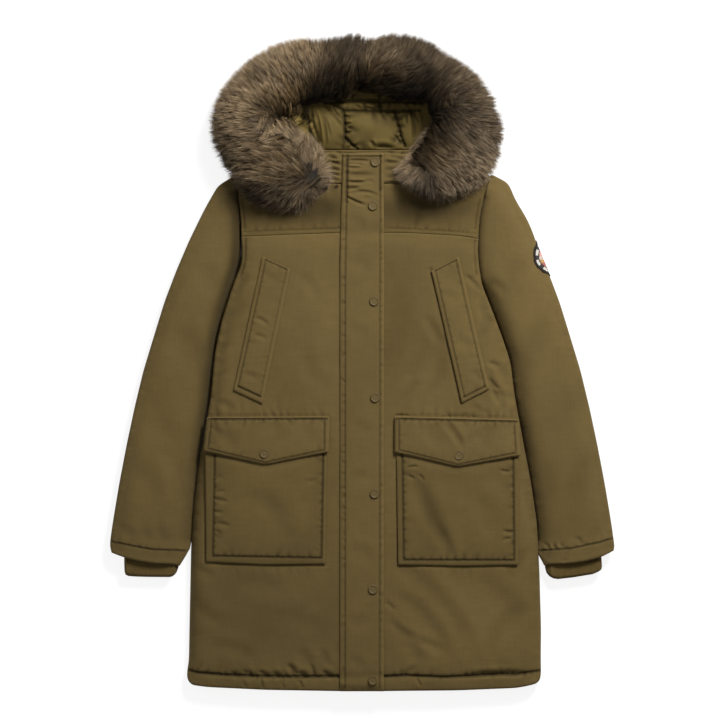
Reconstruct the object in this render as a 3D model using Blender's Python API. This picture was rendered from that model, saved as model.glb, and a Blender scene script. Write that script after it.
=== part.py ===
"""A padded parka with a fur trimmed hood, laid flat on its back with its fronts closed.

X runs across the garment (+X is the wearer's left arm), Y from hem to hood and Z up, off the surface it
lies on. All dimensions below are millimetres; to_metres() is the only place that scales them.
Layers from the surface up: back panel, fronts and yokes, then what is sewn on them.
"""

import math
from collections import namedtuple

import bmesh
import bpy
from mathutils import Vector
from mathutils.bvhtree import BVHTree

SEAM = 0.3  # between two pieces sewn or lying together
BACK_WALL = 14.0  # padded back panel
FRONT_WALL = 16.0  # padded front panels, before their crown
CROWN = 5.0  # how far the chest stands above its sides
SIDE_ROLL = 20.0  # how far in from a free side the padding reaches its full height
PLACKET_HALF = 33.6
PLACKET_WALL = 4.0
PLACKET_TOP = 335.7
WELT_WALL, WELT_DOME = 3.2, 1.0  # at its edge, and how much thicker in its middle
POCKET_WALL, POCKET_DOME = 4.0, 2.0
FLAP_WALL, FLAP_DOME = 3.4, 1.6
FLAP_OVERHANG = 3.0
EDGE_BEVEL = 1.2  # on welts, pockets, flaps and placket
NECK_Y = 286.9  # collar seam at the centre front
NECK_SIDE = (104.0, 333.0)  # where collar, shoulder and hood meet
COLLAR_TOP = 341.0
COLLAR_FLOOR = BACK_WALL + SEAM
COLLAR_WALL = 6.0
SLEEVE_HEIGHT = 34.0
SLEEVE_SLIT = 2.4  # between the sleeve's two walls
CUFF_HEIGHT = 8.6
CUFF_SLIT = 2.4
CUFF_RIBS = 36
CUFF_RIB_DEPTH = 0.9
SNAP_RADIUS = 7.6
SNAP_SIDES = 12
BADGE_RADIUS = 32.0
BADGE_WALL = 1.2
BADGE_GAP = 0.8  # between it and the sleeve's cloth
HOOD_SHELL_WALL = 10.0
LINING_RISE = 12.0
FUR_HEIGHT = 88.0

SHELL_CLOTH = (0.124, 0.085, 0.030)
LINING_CLOTH = (0.112, 0.085, 0.027)
FUR = (0.078, 0.054, 0.033)
RIB_KNIT = (0.078, 0.055, 0.020)
SNAP_METAL = (0.150, 0.110, 0.050)
BADGE_CLOTH = (0.55, 0.36, 0.20)

Side = namedtuple("Side", "name sign shoulder underarm armhole_sag sleeve_hem edge")

# Each side's armhole and sleeve hem, and the body's free edge from the underarm to the hem, as (x, y).
LEFT = Side(
    name="left",
    sign=-1,
    shoulder=(205.0, 300.0),
    underarm=(193.7, 159.5),
    armhole_sag=4.0,
    sleeve_hem=(289.5, -323.6),
    edge=[
        (193.7, 159.5),
        (208.3, 122.4),
        (227.0, 63.4),
        (237.6, 12.9),
        (243.1, -54.0),
        (253.0, -110.0),
        (264.0, -171.0),
        (270.5, -225.0),
        (275.3, -291.0),
        (278.5, -448.0),
        (279.5, -519.0),
    ],
)
RIGHT = Side(
    name="right",
    sign=1,
    shoulder=(206.5, 300.0),
    underarm=(193.2, 124.0),
    armhole_sag=12.0,
    sleeve_hem=(292.5, -323.6),
    edge=[
        (193.2, 124.0),
        (210.7, 80.5),
        (228.0, 34.0),
        (239.4, 0.0),
        (245.2, -51.5),
        (256.0, -110.0),
        (272.0, -193.0),
        (281.8, -259.0),
        (286.0, -340.0),
        (287.0, -448.0),
        (286.5, -517.0),
    ],
)

# One row of a front panel: where it crosses the side (y only), the outer, middle and inner lines that
# carry the pocket and the welt (x as a distance from the centre), and the placket (y only). drop is how
# far the surface sinks there, pucker how far it rises and falls from column to column, and steps is how
# many rows reach up to the next entry.
Row = namedtuple("Row", "name side_y outer middle inner placket_y drop pucker steps")
FRONT_ROWS = {
    "left": [
        Row("hem", -519.0, (250, -523.2), (155, -527.6), (58, -529.2), -529.6, 7, 0, 1),
        Row("hem fold", -514.5, (250, -518.6), (155, -523.0), (58, -524.6), -525.0, 1.5, 0, 1),
        Row("hem band", -503.0, (250, -508.0), (155, -512.5), (58, -513.5), -513.5, 0, 0.6, 1),
        Row("hem stitch", -497.0, (250, -502.0), (155, -506.0), (58, -507.0), -507.0, 4.0, 0, 1),
        Row("above hem", -490.0, (250, -494.0), (155, -497.0), (58, -498.0), -498.0, 0, -1.1, 7),
        Row("pocket foot", -321.0, (250.7, -321.4), (155, -326.0), (59.2, -324.7), -325.0, 0, 0, 7),
        Row("flap foot", -144.0, (252.5, -144.0), (155.4, -165.3), (56.8, -145.5), -146.0, 0, 0, 3),
        Row("flap head", -91.0, (246.5, -91.0), (151.0, -90.5), (55.2, -89.8), -90.0, 0, 0, 2),
        Row("welt foot", -46.0, (207.0, -46.0), (160.2, -67.5), (62.0, -60.0), -60.0, 0, 0, 9),
        Row("welt head", 159.5, (160.2, 170.2), (114.8, 148.8), (68.0, 160.0), 162.0, 0, 0, 3),
        Row("yoke seam", 202.0, (160.0, 203.0), (114.0, 205.0), (68.0, 206.6), 207.7, 3.5, 0, 0),
    ],
    "right": [
        Row("hem", -517.0, (250, -524.6), (155, -528.4), (58, -529.2), -529.6, 7, 0, 1),
        Row("hem fold", -512.5, (250, -520.0), (155, -523.8), (58, -524.6), -525.0, 1.5, 0, 1),
        Row("hem band", -503.0, (250, -507.0), (155, -512.5), (58, -513.5), -513.5, 0, 0.6, 1),
        Row("hem stitch", -497.5, (250, -501.0), (155, -506.5), (58, -507.0), -507.0, 4.0, 0, 1),
        Row("above hem", -490.0, (250, -493.0), (155, -498.0), (58, -498.5), -498.0, 0, -1.1, 7),
        Row("pocket foot", -326.0, (251.0, -326.5), (155, -328.0), (58.0, -326.0), -325.0, 0, 0, 7),
        Row("flap foot", -150.0, (252.0, -151.0), (153.9, -168.6), (55.0, -145.5), -146.0, 0, 0, 3),
        Row("flap head", -94.7, (249.0, -94.7), (152.0, -92.0), (55.2, -89.8), -90.0, 0, 0, 2),
        Row("welt foot", -43.5, (204.9, -43.5), (160.4, -66.3), (62.0, -60.0), -60.0, 0, 0, 9),
        Row("welt head", 124.0, (156.0, 169.4), (111.4, 146.5), (68.0, 158.0), 162.0, 0, 0, 3),
        Row("yoke seam", 198.2, (156.0, 203.0), (112.0, 205.6), (68.0, 208.0), 207.7, 3.5, 0, 0),
    ],
}

ACROSS_POCKET = 5  # columns across half a pocket, or across a welt
OUTER = 2  # the front's columns that carry sewn-on pieces
MIDDLE = OUTER + ACROSS_POCKET
INNER = MIDDLE + ACROSS_POCKET
PLACKET = INNER + 1

# The yoke's columns, from the seam with the front up to the shoulder or the neck.
YokeColumn = namedtuple("YokeColumn", "front_column head")
YOKE_COLUMNS = [
    YokeColumn(OUTER, (165.0, 316.0)),
    YokeColumn(MIDDLE, (130.0, 327.0)),
    YokeColumn(INNER - 2, NECK_SIDE),
    YokeColumn(INNER, (74.0, NECK_Y)),
]
YOKE_STEPS = 5

# Soft folds of the fronts: a ridge (or, with a negative rise, a trough) from one end to the other.
Fold = namedtuple("Fold", "start end width rise")
FOLDS = [
    Fold((205, 75), (150, 130), 26, -3.5),
    Fold((232, 0), (196, 62), 24, -3.0),
    Fold((206, -70), (222, -20), 22, 2.5),
    Fold((120, -380), (215, -470), 30, 2.0),
    Fold((180, -360), (262, -430), 28, -2.5),
    Fold((70, -430), (120, -505), 26, 1.8),
    Fold((90, 60), (70, -40), 26, 1.6),
    Fold((-80, 90), (-66, -50), 24, 1.6),
    Fold((-205, 95), (-170, 140), 24, -2.5),
    Fold((-240, -10), (-215, 40), 22, -2.0),
    Fold((-110, -370), (-190, -480), 30, 1.8),
    Fold((-215, -360), (-262, -440), 28, -2.2),
    Fold((-60, -380), (-75, -500), 26, -1.6),
    Fold((-150, 225), (-60, 262), 30, 1.2),
    Fold((150, 225), (60, 262), 30, 1.2),
]

# Sleeve stations from the armhole to the hem: the outer edge's (x, y), how far along the inner edge the
# station's other end is, how far its middle bows towards the hem, and half the gap between the walls.
Station = namedtuple("Station", "outer along bow half_slit")
SLEEVE_STATIONS = [
    Station((232.0, 284.0), 0.020, 2.0, SLEEVE_SLIT / 2),
    Station((254.0, 245.0), 0.060, 0.0, SLEEVE_SLIT / 2),
    Station((278.0, 196.0), 0.125, 0.0, SLEEVE_SLIT / 2),
    Station((299.0, 147.0), 0.200, 0.0, SLEEVE_SLIT / 2),
    Station((318.0, 97.0), 0.290, 0.0, SLEEVE_SLIT / 2),
    Station((335.0, 42.0), 0.400, 0.0, SLEEVE_SLIT / 2),
    Station((352.0, -14.0), 0.500, 0.0, SLEEVE_SLIT / 2),
    Station((366.0, -72.0), 0.610, 0.0, SLEEVE_SLIT / 2),
    Station((379.0, -133.0), 0.720, 0.0, SLEEVE_SLIT / 2),
    Station((391.0, -196.0), 0.830, 0.0, SLEEVE_SLIT / 2),
    Station((401.0, -256.0), 0.930, 2.0, SLEEVE_SLIT / 2),
    Station((404.5, -280.0), 0.975, 4.0, SLEEVE_SLIT / 2),
    Station((405.5, -288.0), 1.000, 4.5, CUFF_HEIGHT / 2 + SEAM),
    Station((406.5, -298.0), 1.025, 6.0, CUFF_HEIGHT / 2 + SEAM),
    Station((403.0, -307.0), 1.046, 7.5, CUFF_HEIGHT / 2 + SEAM),
]
SLEEVE_SHRINK = {12: 0.88, 14: 0.80}  # height of the hem's stitch line and of its fold
SLEEVE_STITCH_Y = -303.6  # where the hem's stitch line meets the sleeve's inner edge
BESIDE_BODY = 1.6  # the groove between a sleeve and the body's side

# The sleeve's outline across: t from the outer to the inner edge, and the height of its upper and lower
# surfaces as parts of SLEEVE_HEIGHT.
Across = namedtuple("Across", "t upper lower")
SLEEVE_ACROSS = [
    Across(0.00, 0.50, 0.50),
    Across(0.02, 0.68, 0.31),
    Across(0.07, 0.84, 0.17),
    Across(0.16, 0.95, 0.10),
    Across(0.28, 0.99, 0.07),
    Across(0.42, 1.00, 0.00),
    Across(0.60, 1.00, 0.00),
    Across(0.76, 0.97, 0.00),
    Across(0.88, 0.89, 0.06),
    Across(0.96, 0.72, 0.25),
    Across(1.00, 0.50, 0.50),
]
SLIT_SPAN = (0.150, 0.948)  # the part of the width that is open inside

# The cuff's upper end, inside the sleeve, and its lower end: the outer edge's (x, y), then the inner
# edge's y and how far it is from the sleeve's hem.
CuffEnd = namedtuple("CuffEnd", "outer inner_y inward")
CUFF_ENDS = [CuffEnd((384.5, -303.0), -312.0, 9.0), CuffEnd((383.5, -341.5), -347.5, 9.0)]

# Sections round the hood's edge, from the viewer's left lobe over the crown to the right one: the fur's
# outer and inner edge, and its height as a part of FUR_HEIGHT.
Section = namedtuple("Section", "outer inner height")
FUR_SECTIONS = [
    Section((-72, 258), (-50, 316), 0.60),
    Section((-120, 228), (-66, 346), 0.86),
    Section((-184, 252), (-86, 368), 0.98),
    Section((-224, 312), (-104, 386), 1.02),
    Section((-246, 366), (-128, 398), 1.00),
    Section((-238, 420), (-110, 408), 0.96),
    Section((-210, 463), (-90, 418), 0.96),
    Section((-165, 502), (-64, 425), 0.97),
    Section((-113, 521), (-40, 424), 0.96),
    Section((-58, 524), (-18, 442), 0.93),
    Section((-12, 531), (0, 448), 0.90),
    Section((14, 523), (12, 448), 0.82),
    Section((50, 531), (34, 440), 0.90),
    Section((100, 522), (66, 429), 0.96),
    Section((142, 497), (98, 419), 0.98),
    Section((184, 468), (107, 400), 0.99),
    Section((214, 426), (108, 378), 1.00),
    Section((229, 373), (94, 364), 1.02),
    Section((221, 320), (82, 344), 1.00),
    Section((199, 286), (68, 326), 0.96),
    Section((163, 261), (58, 308), 0.90),
    Section((118, 250), (54, 292), 0.78),
    Section((80, 264), (56, 280), 0.50),
]
HOOD_FROM, HOOD_TO = 4, 17  # sections that stand over the hood itself, beyond the shoulders
BETWEEN_SECTIONS = 2  # smooth steps from one section to the next
SHELL_REACH = 0.42  # how far across the fur the shell and the lining reach, from its outer edge
LINING_REACH = 0.76
FUR_PROFILE = [  # (across, height) of the fur's upper surface
    (0.05, 0.08),
    (0.00, 0.30),
    (0.05, 0.60),
    (0.18, 0.86),
    (0.38, 0.99),
    (0.60, 0.97),
    (0.80, 0.78),
    (0.95, 0.50),
    (1.00, 0.26),
]
FUR_UNDERSIDE = [  # (across, height above the floor) where it lies on the lining, the shell, the floor
    (0.95, HOOD_SHELL_WALL + LINING_RISE + 3 * SEAM),
    (0.80, HOOD_SHELL_WALL + LINING_RISE + 3 * SEAM),
    (0.68, HOOD_SHELL_WALL + 2 * SEAM),
    (0.36, HOOD_SHELL_WALL + 2 * SEAM),
    (0.10, 2.0),
]

# Quilting seams of the hood lining, and how wide each valley is.
Quilt = namedtuple("Quilt", "start end width")
QUILT_SEAMS = [
    Quilt((-52, 404), (108, 404), 6),
    Quilt((-30, 421), (100, 421), 6),
    Quilt((-27, 341), (-27, 404), 6),
    Quilt((56, 341), (53, 404), 6),
    Quilt((-60, 417), (-30, 386), 7),
    Quilt((-88, 392), (-70, 345), 6),
    Quilt((30, 404), (30, 446), 6),
    Quilt((-18, 404), (-20, 446), 6),
    Quilt((84, 341), (92, 404), 8),
]
LINING_COLUMNS = 26
LINING_ROWS = 12

PLACKET_SNAPS = [
    (21.7, 322.0),
    (17.7, 251.5),
    (19.6, 97.7),
    (21.2, -57.3),
    (20.4, -211.6),
    (17.6, -365.5),
    (17.6, -511.5),
]
FLAP_SNAPS = {"left": (-156.8, -147.0), "right": (155.6, -149.5)}
SNAP_PROFILE = [(0, 1.9), (4.6, 1.7), (5.2, 2.3), (6.8, 1.9), (SNAP_RADIUS, 0.9), (SNAP_RADIUS, 0)]

# The badge: where its centre lies down the sleeve's outer edge, and how far round it, past the edge.
BADGE_CENTRE_Y = 166.0
BADGE_PAST_EDGE = 13.0
BADGE_ROWS = 8
BADGE_REACH = (0.95, 0.82)  # where its two flat ends lie, as parts of the radius: above and below


def clear_scene():
    for obj in list(bpy.data.objects):
        bpy.data.objects.remove(obj, do_unlink=True)


def cloth(name, colour, roughness=0.9, metallic=0.0):
    material = bpy.data.materials.new(name)
    material.use_nodes = True
    shader = material.node_tree.nodes["Principled BSDF"]
    shader.inputs["Base Color"].default_value = (*colour, 1.0)
    shader.inputs["Roughness"].default_value = roughness
    shader.inputs["Metallic"].default_value = metallic
    return material


def to_metres(point):
    return [value / 1000 for value in point]


def add_solid(name, points, faces, material):
    """One closed mesh object; its faces are turned to point outwards."""
    mesh = bpy.data.meshes.new(name)
    mesh.from_pydata([to_metres(point) for point in points], [], faces)
    work = bmesh.new()
    work.from_mesh(mesh)
    bmesh.ops.recalc_face_normals(work, faces=work.faces)
    work.to_mesh(mesh)
    work.free()
    mesh.materials.append(material)
    mesh.shade_smooth()
    mesh.set_sharp_from_angle(angle=math.radians(40))
    obj = bpy.data.objects.new(name, mesh)
    bpy.context.scene.collection.objects.link(obj)
    return obj


def mix(a, b, t):
    return tuple(p + (q - p) * t for p, q in zip(a, b))


def along(table, y):
    """x on a polyline of (x, y) points that runs down from high y to low y."""
    for (x0, y0), (x1, y1) in zip(table, table[1:]):
        if y >= y1:
            return x0 + (x1 - x0) * (y - y0) / (y1 - y0)
    return table[-1][0]


def side_x(side, y):
    """How far from the centre the body's edge is: a hollowed armhole above the underarm, then the side."""
    if y <= side.underarm[1]:
        return along(side.edge, y)
    t = min(1.0, (side.shoulder[1] - y) / (side.shoulder[1] - side.underarm[1]))
    chord = side.shoulder[0] + (side.underarm[0] - side.shoulder[0]) * t
    return chord - 4 * side.armhole_sag * t * (1 - t)


def segment_distance(point, start, end):
    run = (end[0] - start[0], end[1] - start[1])
    length_squared = run[0] ** 2 + run[1] ** 2
    t = ((point[0] - start[0]) * run[0] + (point[1] - start[1]) * run[1]) / length_squared
    nearest = mix(start, end, max(0.0, min(1.0, t)))
    return math.dist(point, nearest)


def fold_height(x, y):
    heights = (
        fold.rise * math.exp(-((segment_distance((x, y), fold.start, fold.end) / fold.width) ** 2))
        for fold in FOLDS
    )
    return sum(heights)


def front_height(side, x, y, drop):
    """The upper surface of a front or yoke: crowned, folded, and rolled down at its free side."""
    towards_neck = max(0.0, min(1.0, (y - 120) / 160))
    crown = CROWN * (1 - (x / 280) ** 2) * (1 - 0.8 * towards_neck)
    full = BACK_WALL + SEAM + FRONT_WALL + crown + fold_height(x, y) - drop
    free_side = y < side.underarm[1] - 1
    edge = BACK_WALL + SEAM + (2.0 if free_side else 9.0)
    inward = max(0.0, min(1.0, (side_x(side, y) - abs(x)) / SIDE_ROLL))
    rounded = math.sqrt(1 - (1 - inward) ** 2)
    return edge + (full - edge) * rounded


def grid_faces(rows, columns, first=0, flip=False):
    """Two triangles for each cell, always split the same way, so that stacked layers match."""
    faces = []
    for i in range(rows - 1):
        for j in range(columns - 1):
            a = first + i * columns + j
            b, c, d = a + 1, a + columns + 1, a + columns
            faces += [(a, b, c), (a, c, d)]
    return [face[::-1] for face in faces] if flip else faces


def border_indices(rows, columns):
    """The grid's border, once round."""
    bottom = [(0, j) for j in range(columns)]
    right = [(i, columns - 1) for i in range(1, rows)]
    top = [(rows - 1, j) for j in range(columns - 2, -1, -1)]
    left = [(i, 0) for i in range(rows - 2, 0, -1)]
    return bottom + right + top + left


def grid_solid(name, upper, lower, material, flat_lower=False):
    """A solid between two grids of points. flat_lower closes a level underside with one face."""
    rows, columns = len(upper), len(upper[0])
    points = [point for row in upper for point in row]
    faces = grid_faces(rows, columns)
    border = border_indices(rows, columns)
    rim = [i * columns + j for i, j in border]
    if flat_lower:
        under = [len(points) + k for k in range(len(border))]
        points = points + [lower[i][j] for i, j in border]
        faces.append(tuple(reversed(under)))
    else:
        under = [len(points) + index for index in rim]
        faces += grid_faces(rows, columns, first=len(points), flip=True)
        points = points + [point for row in lower for point in row]
    for k in range(len(rim)):
        after = (k + 1) % len(rim)
        faces += [(rim[k], under[k], under[after]), (rim[k], under[after], rim[after])]
    return add_solid(name, points, faces, material)


def raised(grid, height):
    return [[(x, y, z + height) for x, y, z in row] for row in grid]


def puffed(grid, height, dome):
    """The grid raised by height at its border and by dome more in its middle."""
    rows, columns = len(grid), len(grid[0])
    out = []
    for i, row in enumerate(grid):
        v = math.sin(math.pi * i / (rows - 1))
        bulge = [dome * math.sqrt(v * math.sin(math.pi * j / (columns - 1))) for j in range(columns)]
        out.append([(x, y, z + height + bulge[j]) for j, (x, y, z) in enumerate(row)])
    return out


def inset(grid, amount):
    """The grid with its border pulled in level, which bevels the edge of what it covers."""
    rows, columns = len(grid), len(grid[0])
    out = [list(row) for row in grid]
    for i, j in border_indices(rows, columns):
        inner_i = min(max(i, 1), rows - 2)
        inner_j = min(max(j, 1), columns - 2)
        x, y, z = grid[i][j]
        towards = Vector(grid[inner_i][inner_j]).xy - Vector((x, y))
        step = towards.normalized() * amount
        out[i][j] = (x + step.x, y + step.y, z)
    return out


def front_columns(side, row):
    """One row of a front panel as (x, y) points, from the side to the centre."""
    edge = (side_x(side, row.side_y), row.side_y)
    steps = [k / ACROSS_POCKET for k in range(ACROSS_POCKET)]
    outer_to_middle = [mix(row.outer, row.middle, t) for t in steps]
    middle_to_inner = [mix(row.middle, row.inner, t) for t in steps]
    centre = [(x, row.placket_y) for x in (PLACKET_HALF, PLACKET_HALF / 2, SEAM / 2)]
    return [edge, mix(edge, row.outer, 0.4), *outer_to_middle, *middle_to_inner, row.inner, *centre]


def blended_row(low, high, t):
    numbers = {
        field: mix((getattr(low, field),), (getattr(high, field),), t)[0]
        for field in ("side_y", "placket_y", "drop", "pucker")
    }
    lines = {name: mix(getattr(low, name), getattr(high, name), t) for name in ("outer", "middle", "inner")}
    return Row(name=low.name, steps=1, **numbers, **lines)


def front_grid(side):
    """The front's upper surface, and the number of each named row in it."""
    table = FRONT_ROWS[side.name]
    grid, number = [], {}
    for low, high in zip(table, table[1:] + [None]):
        number[low.name] = len(grid)
        for k in range(max(1, low.steps)):
            row = blended_row(low, high, k / low.steps) if high else low
            if k:
                row = row._replace(drop=0, pucker=0)
            drops = [row.drop + row.pucker * (-1) ** j * (0 < j < INNER) for j in range(PLACKET + 3)]
            points = [(side.sign * x, y) for x, y in front_columns(side, row)]
            heights = [front_height(side, x, y, drop) for (x, y), drop in zip(points, drops)]
            grid.append([(x, y, z) for (x, y), z in zip(points, heights)])
    return grid, number


def add_front(side, material):
    grid, number = front_grid(side)
    floor = BACK_WALL + SEAM
    lower = [[(x, y, floor) for x, y, _ in row] for row in grid]
    grid_solid(f"front_{side.name}", grid, lower, material, flat_lower=True)
    return grid, number


def part_of(grid, rows, columns):
    return [row[columns[0] : columns[1] + 1] for row in grid[rows[0] : rows[1] + 1]]


def add_pocket_and_flap(side, grid, number, material):
    """A patch pocket on the front's own points, and its flap on the pocket's."""
    foot, fold, head = (number[name] for name in ("pocket foot", "flap foot", "flap head"))
    patch = part_of(grid, (foot, head), (OUTER, INNER))
    lower = raised(patch, SEAM)
    upper = puffed(lower, POCKET_WALL, POCKET_DOME)
    grid_solid(f"pocket_{side.name}", inset(upper, EDGE_BEVEL), lower, material)
    flap_lower = raised(upper[fold - foot :], SEAM)
    for row in flap_lower:
        for j, outward in ((0, side.sign), (-1, -side.sign)):
            x, y, z = row[j]
            row[j] = (x + outward * FLAP_OVERHANG, y, z)
    flap_upper = inset(puffed(flap_lower, FLAP_WALL, FLAP_DOME), EDGE_BEVEL)
    grid_solid(f"flap_{side.name}", flap_upper, flap_lower, material)
    return flap_upper


def add_welt(side, grid, number, material):
    rows = (number["welt foot"], number["welt head"])
    lower = raised(part_of(grid, rows, (OUTER, MIDDLE)), SEAM)
    upper = inset(puffed(lower, WELT_WALL, WELT_DOME), EDGE_BEVEL)
    grid_solid(f"welt_{side.name}", upper, lower, material)


def yoke_grid(side):
    """The yoke's upper surface; its columns by the placket run straight on from the front's."""
    seam = front_columns(side, FRONT_ROWS[side.name][-1])
    low_y = seam[0][1] + SEAM
    heads = [(seam[column.front_column], column.head) for column in YOKE_COLUMNS]
    heads += [((x, y), (x, NECK_Y)) for x, y in seam[PLACKET:]]
    grid = []
    for i in range(YOKE_STEPS + 1):
        t = i / YOKE_STEPS
        edge_y = low_y + (side.shoulder[1] - low_y) * t
        points = [(side_x(side, edge_y), edge_y)]
        points += [mix((x, y + SEAM), head, t) for (x, y), head in heads]
        drop = (3.5, 0, 0, 0, 0, 1.5)[i]
        row = [(side.sign * x, y, front_height(side, side.sign * x, y, drop)) for x, y in points]
        grid.append(row)
    return grid


def add_yoke(side, material):
    grid = yoke_grid(side)
    lower = [[(x, y, BACK_WALL + SEAM) for x, y, _ in row] for row in grid]
    grid_solid(f"yoke_{side.name}", grid, lower, material, flat_lower=True)
    return grid


def add_back(material):
    """The back panel: level above and where it rests, with its sides and hem rounded up underneath."""
    levels = [-517.0, -510.0, -490.0, -430.0, -370.0, -310.0, -259.0, -225.0, -171.0, -110.0, -52.0]
    levels += [0.0, 34.0, 63.4, 90.0, 124.0, 145.0, 159.5, 185.0, 212.0, 240.0, 270.0, 300.0]
    shoulders = [(165.0, 316.0), (130.0, 327.0), NECK_SIDE, (74.0, 340.6)]
    rows = [(side_x(LEFT, y), side_x(RIGHT, y), y) for y in levels]
    rows += [(x, x, y) for x, y in shoulders]
    insets = [0.0, 5.0, 14.0]
    upper, lower = [], []
    for index, (left_x, right_x, y) in enumerate(rows):
        hem_lift = (5.0, 0.8)[index] if index < 2 else 0.0
        middle = [-60.0, 0.0, 60.0]
        xs = [-left_x + d for d in insets] + middle + [right_x - d for d in reversed(insets)]
        rolls = [8.0, 2.6, 0.0, 0.0, 0.0, 0.0, 0.0, 2.6, 8.0]
        upper.append([(x, y, BACK_WALL) for x in xs])
        lower.append([(x, y, max(roll, hem_lift)) for x, roll in zip(xs, rolls)])
    grid_solid("back", upper, lower, material)


def collar_path():
    """The collar's section, from its right front edge round under the neck to the left one, as
    (x, outer height, inner height)."""
    low = COLLAR_FLOOR
    slit = low + COLLAR_WALL
    inside = slit + 1.5
    top = BACK_WALL + SEAM + FRONT_WALL + 0.6
    front = [
        (SEAM / 2, top + 0.4, inside),
        (PLACKET_HALF / 2, top + 0.4, inside),
        (PLACKET_HALF, top + 0.4, inside),
        (54.0, top + 0.2, inside),
        (74.0, top, inside),
        (92.0, top - 0.6, inside),
    ]
    turn = [(NECK_SIDE[0], top - 3.0, inside), (NECK_SIDE[0] + 4, (low + top) / 2, (slit + inside) / 2)]
    under = [(NECK_SIDE[0], low, slit), (74.0, low, slit)]
    right = front + turn + under
    left = [(-x, z, inner) for x, z, inner in reversed(right)]
    return right + left


def collar_foot(x):
    """y of the collar's seam."""
    t = max(0.0, min(1.0, (abs(x) - 74.0) / (NECK_SIDE[0] - 74.0)))
    return NECK_Y + SEAM * (2 if t else 1) + (NECK_SIDE[1] - NECK_Y) * t


def add_collar(material):
    """A stand collar flattened with the neck: one band that is split at the centre front."""
    path = collar_path()
    heights = [0.0, 0.14, 0.28, 0.43, 0.57, 0.72, (PLACKET_TOP - NECK_Y - SEAM) / (COLLAR_TOP - NECK_Y), 1.0]
    outer, inner = [], []
    for i, t in enumerate(heights):
        crease = 1.0 if i % 2 else -0.6
        outer_row, inner_row = [], []
        for x, z, z_inner in path:
            foot = collar_foot(x)
            y = foot + (COLLAR_TOP - foot) * t
            on_top = z > COLLAR_FLOOR + COLLAR_WALL + 4 and 0 < i < 7
            outer_row.append((x, y, z + (crease if on_top and abs(x) < 80 else 0.0)))
            turn = NECK_SIDE[0] - 1.5
            outside = max(-turn, min(turn, x))
            inner_row.append((outside, y, z_inner))
        outer.append(outer_row)
        inner.append(inner_row)
    grid_solid("collar", outer, inner, material)
    right = [list(reversed(row[:3])) for row in outer]
    left = [row[-3:] for row in outer]
    return left, right


def add_placket(fronts, yokes, collars, material):
    """The storm flap over the two front edges, on the points of all that it covers."""
    front, yoke, collar = zip_rows(fronts, yokes, collars)
    lower = raised([left + right for left, right in front + yoke[1:-1] + collar[:-1]], SEAM)
    upper = inset(raised(lower, PLACKET_WALL), EDGE_BEVEL)
    grid_solid("placket", upper, lower, material)
    return upper


def zip_rows(fronts, yokes, collars):
    """Pairs of the left and the right panel's points under the placket, row by row."""
    front = [(left[PLACKET:], right[PLACKET:][::-1]) for left, right in zip(*fronts)]
    yoke = [(left[-3:], right[-3:][::-1]) for left, right in zip(*yokes)]
    collar = [(left, right[::-1]) for left, right in zip(*collars)]
    return front, yoke, collar


def sleeve_inner(side, fraction):
    """A point on the sleeve's inner edge: beside the body down to the hem's stitch line, then past it."""
    down = min(fraction, 1.0)
    y = side.underarm[1] + (SLEEVE_STITCH_Y - side.underarm[1]) * down
    beside = (side_x(side, y) + BESIDE_BODY, y)
    past = (fraction - down) / (SLEEVE_STATIONS[-1].along - 1)
    return mix(beside, side.sleeve_hem, past)


def sleeve_line(side, station, t):
    """A point of a station's line, t of the way from its outer to its inner edge."""
    inner = sleeve_inner(side, station.along)
    x, y = mix(station.outer, inner, t)
    return (x, y - 4 * station.bow * t * (1 - t))


def armhole_line(side, t):
    y = side.shoulder[1] + (side.underarm[1] - side.shoulder[1]) * t
    return (side_x(side, y) + 0.5, y)


def sleeve_ring(side, index, outer):
    """One ring of the sleeve, once round: its outside, or the slit between its walls."""
    middle = SLEEVE_HEIGHT / 2
    shrink = SLEEVE_SHRINK.get(index, 1.0)
    ring = []
    for upper in (True, False):
        across = SLEEVE_ACROSS if upper else SLEEVE_ACROSS[-2:0:-1]
        for entry in across:
            if outer:
                t = entry.t
                part = entry.upper if upper else entry.lower
                z = middle + (SLEEVE_HEIGHT * part - middle) * (shrink if upper else 1.0)
            else:
                t = SLIT_SPAN[0] + (SLIT_SPAN[1] - SLIT_SPAN[0]) * entry.t
                half = SLEEVE_STATIONS[index - 1].half_slit if index else SLEEVE_SLIT / 2
                ends = 0.0 if entry.t in (0.0, 1.0) else half
                z = middle + (ends if upper else -ends)
            line = sleeve_line(side, SLEEVE_STATIONS[index - 1], t) if index else armhole_line(side, t)
            ring.append((side.sign * line[0], line[1], z))
    return ring


def tube_solid(name, outer_rings, inner_rings, material):
    """A wall between two sets of rings, closed at both ends."""
    size = len(outer_rings[0])
    points = [point for ring in outer_rings + inner_rings for point in ring]
    faces = []

    def join(first, second):
        for k in range(size):
            after = (k + 1) % size
            a, b, c, d = first + k, first + after, second + after, second + k
            faces.extend([(a, b, c), (a, c, d)])

    inner_start = len(outer_rings) * size
    for k in range(len(outer_rings) - 1):
        join(k * size, (k + 1) * size)
    for k in range(len(inner_rings) - 1):
        join(inner_start + (k + 1) * size, inner_start + k * size)
    join(inner_start, 0)
    join((len(outer_rings) - 1) * size, inner_start + (len(inner_rings) - 1) * size)
    return add_solid(name, points, faces, material)


def add_sleeve(side, material):
    last = len(SLEEVE_STATIONS)
    outer = [sleeve_ring(side, index, True) for index in range(last + 1)]
    inner = [sleeve_ring(side, index, False) for index in (0, 3, 6, 9, 11, 12, 13, last)]
    tube_solid(f"sleeve_{side.name}", outer, inner, material)
    return outer


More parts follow.
